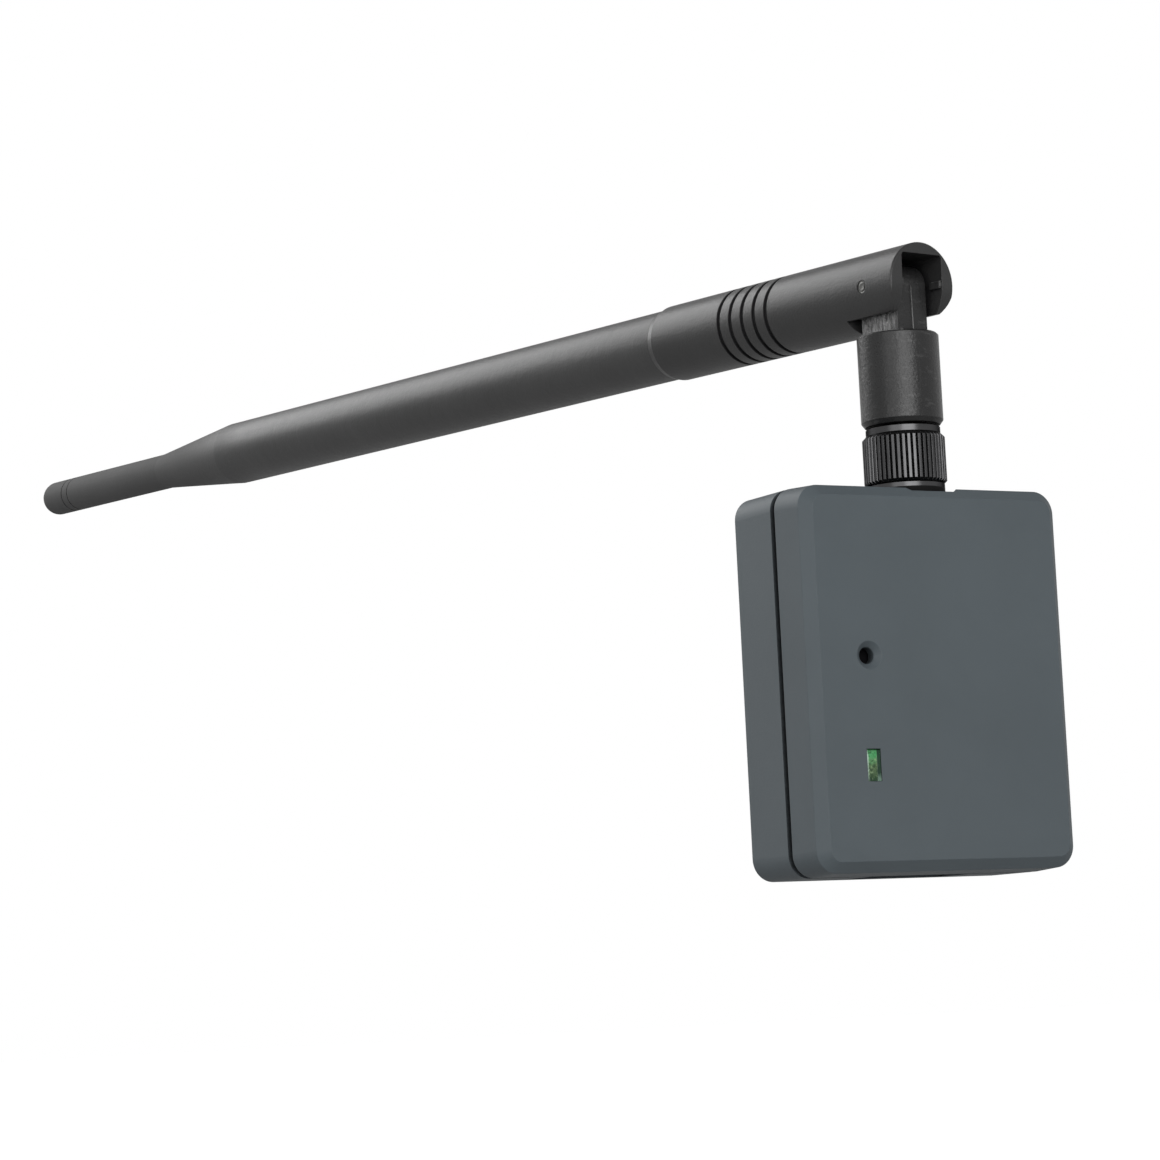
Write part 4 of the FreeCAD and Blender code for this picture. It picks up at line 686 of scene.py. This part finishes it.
FINISHES: dict[Slot, Finish] = {
    # Painted shade: the crevice shade darkens the seam groove and the pinhole to near black.
    Slot.SHELL: MouldedPlastic("shell_plastic", (0.076, 0.0925, 0.1025), roughness=0.55,
                               specular=0.35, grain_size=2600.0, grain_depth=0.000012, drift=0.05,
                               fleck=0.05, edge_colour=(0.16, 0.18, 0.19), edge_share=0.15,
                               crevice_shade_colour=(0.003, 0.004, 0.005), crevice_shade_reach=0.0018,
                               crevice_shade_share=0.95),
    Slot.ANTENNA: MouldedPlastic("antenna_plastic", (0.026, 0.026, 0.0262), roughness=0.38,
                                 specular=0.42, grain_size=3400.0, grain_depth=0.00003,
                                 wave_depth=0.00001, drift=0.15, fleck=0.12,
                                 edge_colour=(0.10, 0.10, 0.10), edge_share=0.3,
                                 roughness_spread=0.14, crevice_shade_share=0.95),
    Slot.ROD: RodPlastic("rod_plastic", (0.036, 0.036, 0.0362), roughness=0.42,
                         specular=0.42, grain_size=3000.0, grain_depth=0.00003,
                         wave_depth=0.000022, drift=0.15, fleck=0.12,
                         edge_colour=(0.10, 0.10, 0.10), edge_share=0.3, roughness_spread=0.14),
    Slot.SWIVEL: TonguePlastic("swivel_plastic", (0.014, 0.014, 0.0142), roughness=0.34,
                               specular=0.42, grain_size=3000.0, grain_depth=0.00004,
                               wave_depth=0.00002, wave_size=700.0, drift=0.25, fleck=0.12,
                               mark_size=500.0, mark_share=0.35, mark_stretch=(1.0, 1.0, 3.0),
                               edge_colour=(0.13, 0.13, 0.13), edge_share=0.3,
                               roughness_spread=0.16),
    Slot.BURR: MouldedPlastic("burr_plastic", (0.035, 0.035, 0.035), roughness=0.35, fleck=0.6,
                              grain_size=2500.0, grain_depth=0.00005, edge_share=0.5,
                              crevice_shade_share=0.3),
    # Painted highlight: the ridge down the tongue's end is coloured far lighter than the swivel plastic.
    Slot.SEAM: MouldedPlastic("ridge_highlight_plastic", (0.13, 0.13, 0.13), roughness=0.5, edge_share=0.1,
                              crevice_shade_share=0.0),
    # Its painted crevice shade reaches far enough to darken the collar under the sleeve.
    Slot.NICKEL: PlatedMetal("black_nickel", (0.085, 0.085, 0.087), roughness=0.26,
                             tarnish=(0.03, 0.03, 0.032), edge_colour=(0.3, 0.3, 0.3),
                             edge_share=0.0, edge_radius=0.00004, mark_depth=0.000001,
                             crevice_shade_reach=0.0009, crevice_shade_share=0.65, rim_tint=(0.3, 0.3, 0.3)),
    Slot.PIN: PlatedMetal("pin_steel", (0.26, 0.26, 0.25), roughness=0.36, spread=0.3,
                          mark_size=2600.0, mark_depth=0.00005, tarnish=(0.012, 0.012, 0.012),
                          tarnish_share=0.95, stretch=(1.0, 1.0, 1.0), crevice_shade_share=0.95),
    # Black plastic darkened further as painted shade, so that the pinhole over the plunger reads as deep
    # shadow.
    Slot.PLUNGER: MouldedPlastic("plunger_black_and_shade", (0.0025, 0.0025, 0.003), roughness=0.8,
                                 specular=0.1, edge_share=0.0),
    Slot.SCREW: PlatedMetal("screw_steel", (0.40, 0.40, 0.41), roughness=0.28),
    Slot.WASHER: MouldedPlastic("washer_rubber", (0.004, 0.004, 0.004), roughness=0.75,
                                specular=0.15, edge_share=0.05),
    Slot.WHITE: MouldedPlastic("connector_white", (0.80, 0.80, 0.76), roughness=0.4,
                               edge_share=0.05),
    Slot.GOLD: PlatedMetal("contact_gold", (0.83, 0.60, 0.24), roughness=0.2,
                           tarnish=(0.5, 0.33, 0.12), edge_colour=(0.95, 0.8, 0.45)),
    Slot.BOARD: BoardLacquer("board_green", (0.02, 0.16, 0.06)),
    Slot.CAN: PlatedMetal("can_steel", (0.62, 0.62, 0.61), roughness=0.3,
                          tarnish=(0.4, 0.4, 0.38)),
    Slot.CHIP: MouldedPlastic("chip_black", (0.02, 0.02, 0.021), roughness=0.6, edge_share=0.1),
    Slot.RELAY: MouldedPlastic("relay_blue", (0.02, 0.07, 0.30), roughness=0.32,
                               edge_colour=(0.2, 0.3, 0.6)),
    Slot.ALUMINIUM: PlatedMetal("can_aluminium", (0.72, 0.73, 0.74), roughness=0.34,
                                tarnish=(0.5, 0.5, 0.5)),
    Slot.FERRITE: MouldedPlastic("ferrite", (0.05, 0.05, 0.055), roughness=0.7,
                                 grain_depth=0.00004, fleck=0.3),
    Slot.LAMP: MouldedPlastic("lamp_white", (0.80, 0.80, 0.77), roughness=0.35, edge_share=0.05),
    Slot.CLEAR: LitMoulding("light_clear", (0.4, 0.8, 0.5)),
    Slot.HEADER: MouldedPlastic("header_black", (0.016, 0.016, 0.017), roughness=0.5),
    Slot.CABLE: MouldedPlastic("cable_black", (0.014, 0.014, 0.014), roughness=0.6,
                               edge_share=0.05),
}


class PaintShop:
    """Makes each finish once and gives it to the nodes and the new pieces."""

    def __init__(self) -> None:
        """Starts with no material made."""
        self.made: dict[Slot, bpy.types.Material] = {}

    def material(self, slot: Slot) -> bpy.types.Material:
        """Returns the material of a slot."""
        if slot not in self.made:
            self.made[slot] = FINISHES[slot].make()
        return self.made[slot]

    def dress(self, piece: bpy.types.Object, slot: Slot) -> None:
        """Puts a slot's material on all of a piece's material slots.

        Args:
            piece: the object to dress.
            slot: the finish that it takes.
        """
        if not piece.material_slots:
            piece.data.materials.append(self.material(slot))
        for place in piece.material_slots:
            place.material = self.material(slot)


# Modelling by hand

class Bench:
    """Short calls to Blender's own operators, for modelling a piece by hand."""

    @staticmethod
    def clear() -> None:
        """Deselects everything."""
        for item in bpy.context.view_layer.objects.selected[:]:
            item.select_set(False)

    @staticmethod
    def pick(piece: bpy.types.Object) -> None:
        """Makes a piece the only one selected, and the active one."""
        Bench.clear()
        piece.select_set(True)
        bpy.context.view_layer.objects.active = piece

    @staticmethod
    def block(name: str, centre: Point, size: Point) -> bpy.types.Object:
        """Adds a block to be shaped.

        Args:
            name: the piece's name.
            centre: its middle.
            size: its three lengths.

        Returns:
            The new piece, with its place and size in its mesh.
        """
        Bench.clear()
        bpy.ops.mesh.primitive_cube_add(size=1.0, location=centre, scale=size)
        return Bench.name(name)

    @staticmethod
    def disc(name: str, radius: float, depth: float, sides: int = 40) -> bpy.types.Object:
        """Adds an upright disc at the origin, to be shaped.

        Args:
            name: the piece's name.
            radius: its radius.
            depth: its thickness.
            sides: the sides of its outline.

        Returns:
            The new piece.
        """
        Bench.clear()
        bpy.ops.mesh.primitive_cylinder_add(vertices=sides, radius=radius, depth=depth)
        return Bench.name(name)

    @staticmethod
    def name(name: str) -> bpy.types.Object:
        """Names the active piece and applies its place."""
        piece = bpy.context.object
        piece.name = name
        piece.data.name = name
        bpy.ops.object.transform_apply(location=True, rotation=True, scale=True)
        return piece

    @staticmethod
    def faces(piece: bpy.types.Object, test: Callable[[bpy.types.MeshPolygon], bool]) -> None:
        """Opens a piece for editing with the faces selected that pass a test.

        Args:
            piece: the piece to edit.
            test: says for a face whether it is taken.
        """
        Bench.pick(piece)
        bpy.ops.object.mode_set(mode="EDIT")
        bpy.ops.mesh.select_mode(type="FACE")
        bpy.ops.mesh.select_all(action="DESELECT")
        bpy.ops.object.mode_set(mode="OBJECT")
        for face in piece.data.polygons:
            face.select = test(face)
        bpy.ops.object.mode_set(mode="EDIT")

    @staticmethod
    def close() -> None:
        """Ends editing."""
        bpy.ops.object.mode_set(mode="OBJECT")

    @staticmethod
    def step(inset: float, shift: Point) -> None:
        """Insets the selected faces and moves them.

        Args:
            inset: how far in.
            shift: how far they then move.
        """
        bpy.ops.mesh.inset(thickness=inset)
        bpy.ops.transform.translate(value=shift)

    @staticmethod
    def cut(piece: bpy.types.Object, point: Point, normal: Point) -> None:
        """Cuts new edges right round a piece, at a plane.

        Args:
            piece: the piece to cut.
            point: a point of the plane.
            normal: its direction.
        """
        Bench.faces(piece, lambda face: True)
        bpy.ops.mesh.bisect(plane_co=point, plane_no=normal)
        Bench.close()

    @staticmethod
    def soften(piece: bpy.types.Object, width: float, segments: int = 3, angle: float = 30.0) -> None:
        """Rounds a piece's edges and shades it smooth.

        Args:
            piece: the piece to finish.
            width: the width of the rounding.
            segments: its steps.
            angle: edges sharper than this are rounded, in degrees.
        """
        Bench.pick(piece)
        bevel = piece.modifiers.new("edge_rounding", "BEVEL")
        bevel.width = width
        bevel.segments = segments
        bevel.limit_method = "ANGLE"
        bevel.angle_limit = math.radians(angle)
        bpy.ops.object.modifier_apply(modifier=bevel.name)
        bpy.ops.object.shade_smooth_by_angle(angle=SMOOTH_BELOW)

    @staticmethod
    def place(piece: bpy.types.Object, spot: Vector, ahead: Vector) -> None:
        """Turns an upright piece to a heading and moves it to its spot, all in its mesh.

        Args:
            piece: a piece modelled at the origin.
            spot: where its origin goes.
            ahead: where its +Z goes.
        """
        Bench.settle(piece, spot, ahead.to_track_quat("Z", "Y").to_matrix().to_4x4())

    @staticmethod
    def settle(piece: bpy.types.Object, spot: Vector, turn: Matrix) -> None:
        """Turns a piece and moves it to its spot, all in its mesh.

        Args:
            piece: a piece modelled at the origin.
            spot: where its origin goes.
            turn: how it is turned.
        """
        Bench.pick(piece)
        piece.matrix_world = Matrix.Translation(spot) @ turn
        bpy.ops.object.transform_apply(location=True, rotation=True, scale=True)


# The object

@dataclass
class Assembly:
    """A group of CAD nodes and new pieces that are made and dressed together."""

    shop: PaintShop
    pieces: list[str] = field(default_factory=list)
    finishes: dict[str, Slot] = field(default_factory=dict)

    def dress_nodes(self) -> None:
        """Gives each CAD node of the assembly its finish."""
        for name, slot in self.finishes.items():
            self.shop.dress(frame["nodes"][name], slot)
            self.pieces.append(name)

    def fit(self, piece: bpy.types.Object, body: str, look: Slot, slot: Slot | None = None) -> None:
        """Dresses a new piece and sets what it moves with.

        Args:
            piece: the new piece.
            body: the body that it rides on.
            look: its finish.
            slot: the record's slot that the finish belongs to, where its name differs; it is not used.
        """
        self.shop.dress(piece, look)
        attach(piece, body)
        self.pieces.append(piece.name)

    def build(self) -> None:
        """Builds and dresses the assembly."""
        self.dress_nodes()


@dataclass
class Case(Assembly):
    """The two shells, their screws and the light guide in the window."""

    window: Point = (-11.35 * MM, -17.0 * MM, -11.3 * MM)
    lens_width: float = 2.0 * MM
    lens_height: float = 4.1 * MM
    lens_recess: float = 0.10 * MM
    lens_rim: float = 0.07 * MM
    lens_sink: float = 0.66 * MM
    lens_end: float = -12.85 * MM
    lens_dish_in: float = 0.25 * MM
    lens_dish: float = 0.04 * MM
    lens_edge: float = 0.02 * MM
    flange_front: float = -14.95 * MM
    flange_back: float = -14.2 * MM
    flange_reach: float = 0.7 * MM
    finishes: dict[str, Slot] = field(default_factory=lambda: {
        "front_shell": Slot.SHELL, "rear_shell": Slot.SHELL, "case_screws": Slot.SCREW})

    def build(self) -> None:
        """Dresses the shells and builds the light guide."""
        self.dress_nodes()
        self._light_guide()

    def _light_guide(self) -> None:
        """Models the clear guide: a stem with a flange behind the wall and a sunk face."""
        front = self.window[1] + self.lens_recess
        middle = (self.window[0], (front + self.lens_end) / 2.0, self.window[2])
        guide = Bench.block("window_light_guide", middle,
                            (self.lens_width, self.lens_end - front, self.lens_height))
        for level in (self.flange_front, self.flange_back):
            Bench.cut(guide, (0.0, level, 0.0), (0.0, 1.0, 0.0))
        Bench.faces(guide, lambda face: abs(face.normal.y) < 0.5
                    and self.flange_front < face.center.y < self.flange_back)
        bpy.ops.mesh.extrude_region_shrink_fatten(
            TRANSFORM_OT_shrink_fatten={"value": self.flange_reach})
        Bench.close()
        Bench.faces(guide, lambda face: face.normal.y < -0.9 and face.center.y < front + 0.1 * MM)
        Bench.step(self.lens_rim, (0.0, self.lens_sink, 0.0))
        Bench.step(self.lens_dish_in, (0.0, -self.lens_dish, 0.0))
        Bench.close()
        Bench.soften(guide, self.lens_edge, 2, 60.0)
        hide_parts("light_guide")
        self.fit(guide, "case", Slot.CLEAR)


@dataclass
class Electronics(Assembly):
    """The circuit board and what stands on it."""

    finishes: dict[str, Slot] = field(default_factory=lambda: {
        "circuit_board": Slot.BOARD, "button_base": Slot.CHIP, "button_plunger": Slot.PLUNGER,
        "status_led": Slot.LAMP, "radio_module": Slot.BOARD, "module_shield": Slot.CAN,
        "chip_parts": Slot.CHIP, "relay": Slot.RELAY, "reservoir_capacitor": Slot.ALUMINIUM,
        "voltage_regulator": Slot.CHIP, "power_inductor": Slot.FERRITE, "optical_coupler": Slot.LAMP,
        "wiring_header": Slot.HEADER, "header_pins": Slot.GOLD})


@dataclass
class Connector(Assembly):
    """The jack, the plug and the coupling nut."""

    finishes: dict[str, Slot] = field(default_factory=lambda: {
        "jack_body": Slot.NICKEL, "jack_washer": Slot.WASHER, "jack_insulator": Slot.WHITE,
        "jack_contact": Slot.GOLD, "coupling_nut": Slot.NICKEL, "antenna_plug": Slot.NICKEL,
        "plug_insulator": Slot.WHITE, "plug_contact": Slot.GOLD})


@dataclass
class Antenna(Assembly):
    """The swivel sleeve and the folding rod."""

    hinge: Point = HINGE
    across: Point = ACROSS
    forward: Point = (-0.12360, 0.99233, 0.0)
    pin_radius: float = 0.83 * MM
    pin_half: float = 5.2 * MM
    pin_clear: float = 0.002 * MM
    pin_edge: float = 0.03 * MM
    peen: float = 0.16 * MM
    peen_steps: tuple[tuple[float, float], ...] = (
        (0.10 * MM, -0.07 * MM), (0.26 * MM, 0.09 * MM), (0.18 * MM, -0.06 * MM))
    line_out: float = 3.72 * MM
    line_width: float = 0.16 * MM
    line_foot: float = 46.3 * MM
    line_top: float = 52.5 * MM
    line_taper: float = 0.4
    line_edge: float = 0.05 * MM
    burr_size: Point = (0.30 * MM, 1.9 * MM, 0.75 * MM)
    burr_across: float = 3.34 * MM
    burr_back: float = 4.95 * MM
    burr_rise: float = 0.05 * MM
    burr_tear: float = 0.35
    burr_seed: int = 4
    burr_smooth_below: float = math.radians(30.0)
    heading: Point = HEADING
    cap_seam: float = 233.6 * MM
    cap_gap: float = 0.19 * MM
    glue_radius: float = 2.5 * MM
    glue_depth: float = 0.45 * MM
    finishes: dict[str, Slot] = field(default_factory=lambda: {
        "swivel_sleeve": Slot.SWIVEL, "base_tube": Slot.ANTENNA, "hinge_pin": Slot.PIN,
        "mast_sheath": Slot.ROD, "tip_cap": Slot.ROD, "feed_cable": Slot.CABLE,
        "radiator_sleeve": Slot.GOLD, "radiator_wire": Slot.GOLD})

    def build(self) -> None:
        """Dresses the rod and builds the small pieces at the hinge and the cap."""
        self.dress_nodes()
        self._pin_end("pin_end_near", -1.0)
        self._pin_end("pin_end_far", 1.0)
        self._highlight_ridge()
        self._burr()
        self._cap_glue()

    def _pin_end(self, name: str, side: float) -> None:
        """Models one end of the pin, peened over by a punch.

        Args:
            name: the piece's name.
            side: -1 for the near cheek, 1 for the far one.
        """
        end = Bench.disc(name, self.pin_radius, self.peen)
        Bench.faces(end, lambda face: face.normal.z > 0.9)
        for inset, rise in self.peen_steps:
            Bench.step(inset, (0.0, 0.0, rise))
        Bench.close()
        Bench.soften(end, self.pin_edge, 2)
        out = Vector(self.across) * side
        Bench.place(end, Vector(self.hinge) + out * (self.pin_half + 0.5 * self.peen + self.pin_clear), out)
        self.fit(end, "antenna", Slot.PIN)

    def _highlight_ridge(self) -> None:
        """Models a thin, light-coloured ridge down the tongue's end: a painted highlight on the tongue's
        rounded corner.
        """
        height = self.line_top - self.line_foot
        line = Bench.block("tongue_highlight_ridge", (0.0, 0.0, 0.0), (self.line_width, self.line_width, height))
        Bench.faces(line, lambda face: face.normal.z > 0.9)
        bpy.ops.transform.resize(value=(self.line_taper, self.line_taper, 1.0))
        Bench.close()
        Bench.soften(line, self.line_edge, 3, 50.0)
        spot = Vector(self.hinge) - Vector(self.forward) * self.line_out
        spot.z = 0.5 * (self.line_top + self.line_foot)
        Bench.settle(line, spot, Matrix.Identity(4))
        self.fit(line, "swivel", Slot.SEAM, Slot.ANTENNA)

    def _burr(self) -> None:
        """Models the torn edge that the slot's cutter leaves inside the far cheek."""
        burr = Bench.block("slot_burr", (0.0, 0.0, 0.0), self.burr_size)
        Bench.faces(burr, lambda face: True)
        bpy.ops.mesh.subdivide(number_cuts=3)
        bpy.ops.mesh.subdivide(number_cuts=2, fractal=self.burr_tear, fractal_along_normal=1.0,
                               seed=self.burr_seed)
        bpy.ops.mesh.vertices_smooth(factor=0.4, repeat=1)
        Bench.close()
        bpy.ops.object.shade_smooth_by_angle(angle=self.burr_smooth_below)
        turn = Matrix((self.across, self.forward, (0.0, 0.0, 1.0))).transposed().to_4x4()
        spot = Vector(self.hinge) + Vector(self.across) * self.burr_across \
            - Vector(self.forward) * self.burr_back + Vector((0.0, 0.0, self.burr_rise))
        Bench.settle(burr, spot, turn)
        self.fit(burr, "antenna", Slot.BURR, Slot.ANTENNA)

    def _cap_glue(self) -> None:
        """Models the bead of glue that fills the seam between the rod and its cap."""
        Bench.clear()
        bpy.ops.mesh.primitive_torus_add(major_radius=self.glue_radius, minor_radius=self.glue_depth,
                                         major_segments=48, minor_segments=12)
        bead = Bench.name("cap_glue")
        Bench.faces(bead, lambda face: True)
        bpy.ops.transform.resize(value=(1.0, 1.0, self.cap_gap / (2.0 * self.glue_depth)))
        Bench.close()
        heading = Vector(self.heading)
        Bench.place(bead, Vector(self.hinge) + heading * self.cap_seam, heading)
        self.fit(bead, "antenna", Slot.WASHER)


# Studio

@dataclass(frozen=True)
class PhotoCamera:
    """The camera that took the photograph, as measured from it."""

    place: Point = (-0.258946, -0.396001, -0.039145)
    right: Point = (0.88026711, -0.4721868, -0.04657724)
    up: Point = (-0.01488072, -0.12559069, 0.99197054)
    ahead: Point = (0.47424506, 0.87250593, 0.11757983)
    lens: float = 109.50

    def set_up(self) -> bpy.types.Object:
        """Makes the camera and makes it the scene's own."""
        data = bpy.data.cameras.new("photo_camera")
        data.lens = self.lens
        data.sensor_width = 36.0
        data.clip_start = 0.01
        data.clip_end = 50.0
        camera = bpy.data.objects.new("photo_camera", data)
        bpy.context.scene.collection.objects.link(camera)
        turn = Matrix((self.right, self.up, tuple(-v for v in self.ahead))).transposed().to_4x4()
        camera.matrix_world = Matrix.Translation(self.place) @ turn
        bpy.context.scene.camera = camera
        return camera


@dataclass(frozen=True)
class SoftBox:
    """One soft lamp of the studio."""

    name: str
    place: Point
    aim: Point
    size: float
    power: float

    def set_up(self) -> None:
        """Makes the lamp and turns it to its aim."""
        data = bpy.data.lights.new(self.name, "AREA")
        data.shape = "SQUARE"
        data.size = self.size
        data.energy = self.power
        lamp = bpy.data.objects.new(self.name, data)
        lamp.visible_camera = False
        bpy.context.scene.collection.objects.link(lamp)
        heading = Vector(self.aim) - Vector(self.place)
        turn = heading.to_track_quat("-Z", "Y").to_matrix().to_4x4()
        lamp.matrix_world = Matrix.Translation(self.place) @ turn


@dataclass
class Studio:
    """The plain floor, the white surround and the soft lamps."""

    floor_level: float = -0.13
    floor_half: float = 8.0
    floor_colour: Colour = (0.34, 0.34, 0.34)
    camera_lift: float = 0.85
    gloss_lift: float = 0.12
    side_level: float = 0.84
    gloss_side: float = 0.72
    top_level: float = 0.3
    gloss_top: float = 0.35
    lamps: tuple[SoftBox, ...] = (
        SoftBox("key_lamp", (-0.36, -1.26, 0.28), (-0.02, 0.0, 0.0), 1.0, 11.0),
        SoftBox("side_lamp", (-1.15, -0.75, 0.15), (-0.02, 0.0, 0.0), 0.8, 2.6),
        SoftBox("back_lamp", (-0.60, 1.40, 1.0), (-0.03, 0.1, 0.05), 1.2, 14.5),
    )

    def build(self) -> None:
        """Builds the floor, the world and the lamps."""
        self._floor()
        self._world()
        for lamp in self.lamps:
            lamp.set_up()

    def _floor(self) -> None:
        """Lays the floor, which shows white to the camera and keeps the shadow."""
        Bench.clear()
        bpy.ops.mesh.primitive_plane_add(size=2.0 * self.floor_half, location=(0.0, 0.0, self.floor_level))
        floor = bpy.context.object
        floor.name = "floor"
        floor.data.transform(floor.matrix_world)
        floor.matrix_world = Matrix.Identity(4)
        material = bpy.data.materials.new("floor_paper")
        material.use_nodes = True
        sheet = NodeSheet(material.node_tree)
        shader = material.node_tree.nodes["Principled BSDF"]
        shader.inputs["Base Color"].default_value = rgba(self.floor_colour)
        shader.inputs["Roughness"].default_value = 0.9
        shader.inputs["Emission Color"].default_value = (1.0, 1.0, 1.0, 1.0)
        path = sheet.add("ShaderNodeLightPath")
        clear = sheet.math("MAXIMUM", path.outputs["Is Camera Ray"], path.outputs["Is Transmission Ray"])
        lift = sheet.math("ADD", sheet.math("MULTIPLY", clear, self.camera_lift),
                          sheet.math("MULTIPLY", path.outputs["Is Glossy Ray"], self.gloss_lift))
        sheet.join(lift, shader.inputs["Emission Strength"])
        floor.data.materials.append(material)

    def _world(self) -> None:
        """Makes the white surround, softer overhead for the object's light and gloss."""
        world = bpy.data.worlds.new("white_surround")
        world.use_nodes = True
        bpy.context.scene.world = world
        sheet = NodeSheet(world.node_tree)
        back = world.node_tree.nodes["Background"]
        back.inputs["Color"].default_value = (1.0, 1.0, 1.0, 1.0)
        heading = sheet.add("ShaderNodeTexCoord").outputs["Generated"]
        height = sheet.add("ShaderNodeSeparateXYZ", Vector=heading).outputs["Z"]
        lit = sheet.span(height, 0.15, 0.75, self.side_level, self.top_level)
        gloss = sheet.span(height, 0.1, 0.7, self.gloss_side, self.gloss_top)
        path = sheet.add("ShaderNodeLightPath")
        shown = sheet.math("MAXIMUM", path.outputs["Is Camera Ray"], path.outputs["Is Transmission Ray"])
        level = self._pick(sheet, path.outputs["Is Glossy Ray"], gloss, lit)
        sheet.join(self._pick(sheet, shown, 1.0, level), back.inputs["Strength"])

    @staticmethod
    def _pick(sheet: NodeSheet, share: bpy.types.NodeSocket, yes: object, no: object
              ) -> bpy.types.NodeSocket:
        """Picks one of two levels.

        Args:
            sheet: the sheet that the nodes go into.
            share: 1 for the first level, 0 for the second.
            yes: the first level, a socket or a number.
            no: the second level, a socket or a number.

        Returns:
            The picked level's socket.
        """
        inverse = sheet.math("SUBTRACT", 1.0, share)
        return sheet.math("ADD", sheet.math("MULTIPLY", share, yes), sheet.math("MULTIPLY", inverse, no))


def main() -> None:
    """Builds the whole scene and reports each piece."""
    logging.basicConfig(level=logging.INFO, format="%(name)s: %(message)s")
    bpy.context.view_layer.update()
    bpy.context.scene.view_settings.view_transform = "Standard"
    PhotoCamera().set_up()
    Studio().build()
    shop = PaintShop()
    for assembly in (Case(shop), Electronics(shop), Connector(shop), Antenna(shop)):
        assembly.build()
        for name in assembly.pieces:
            LOG.info("%s: %s", type(assembly).__name__, name)


if __name__ == "__main__":
    main()
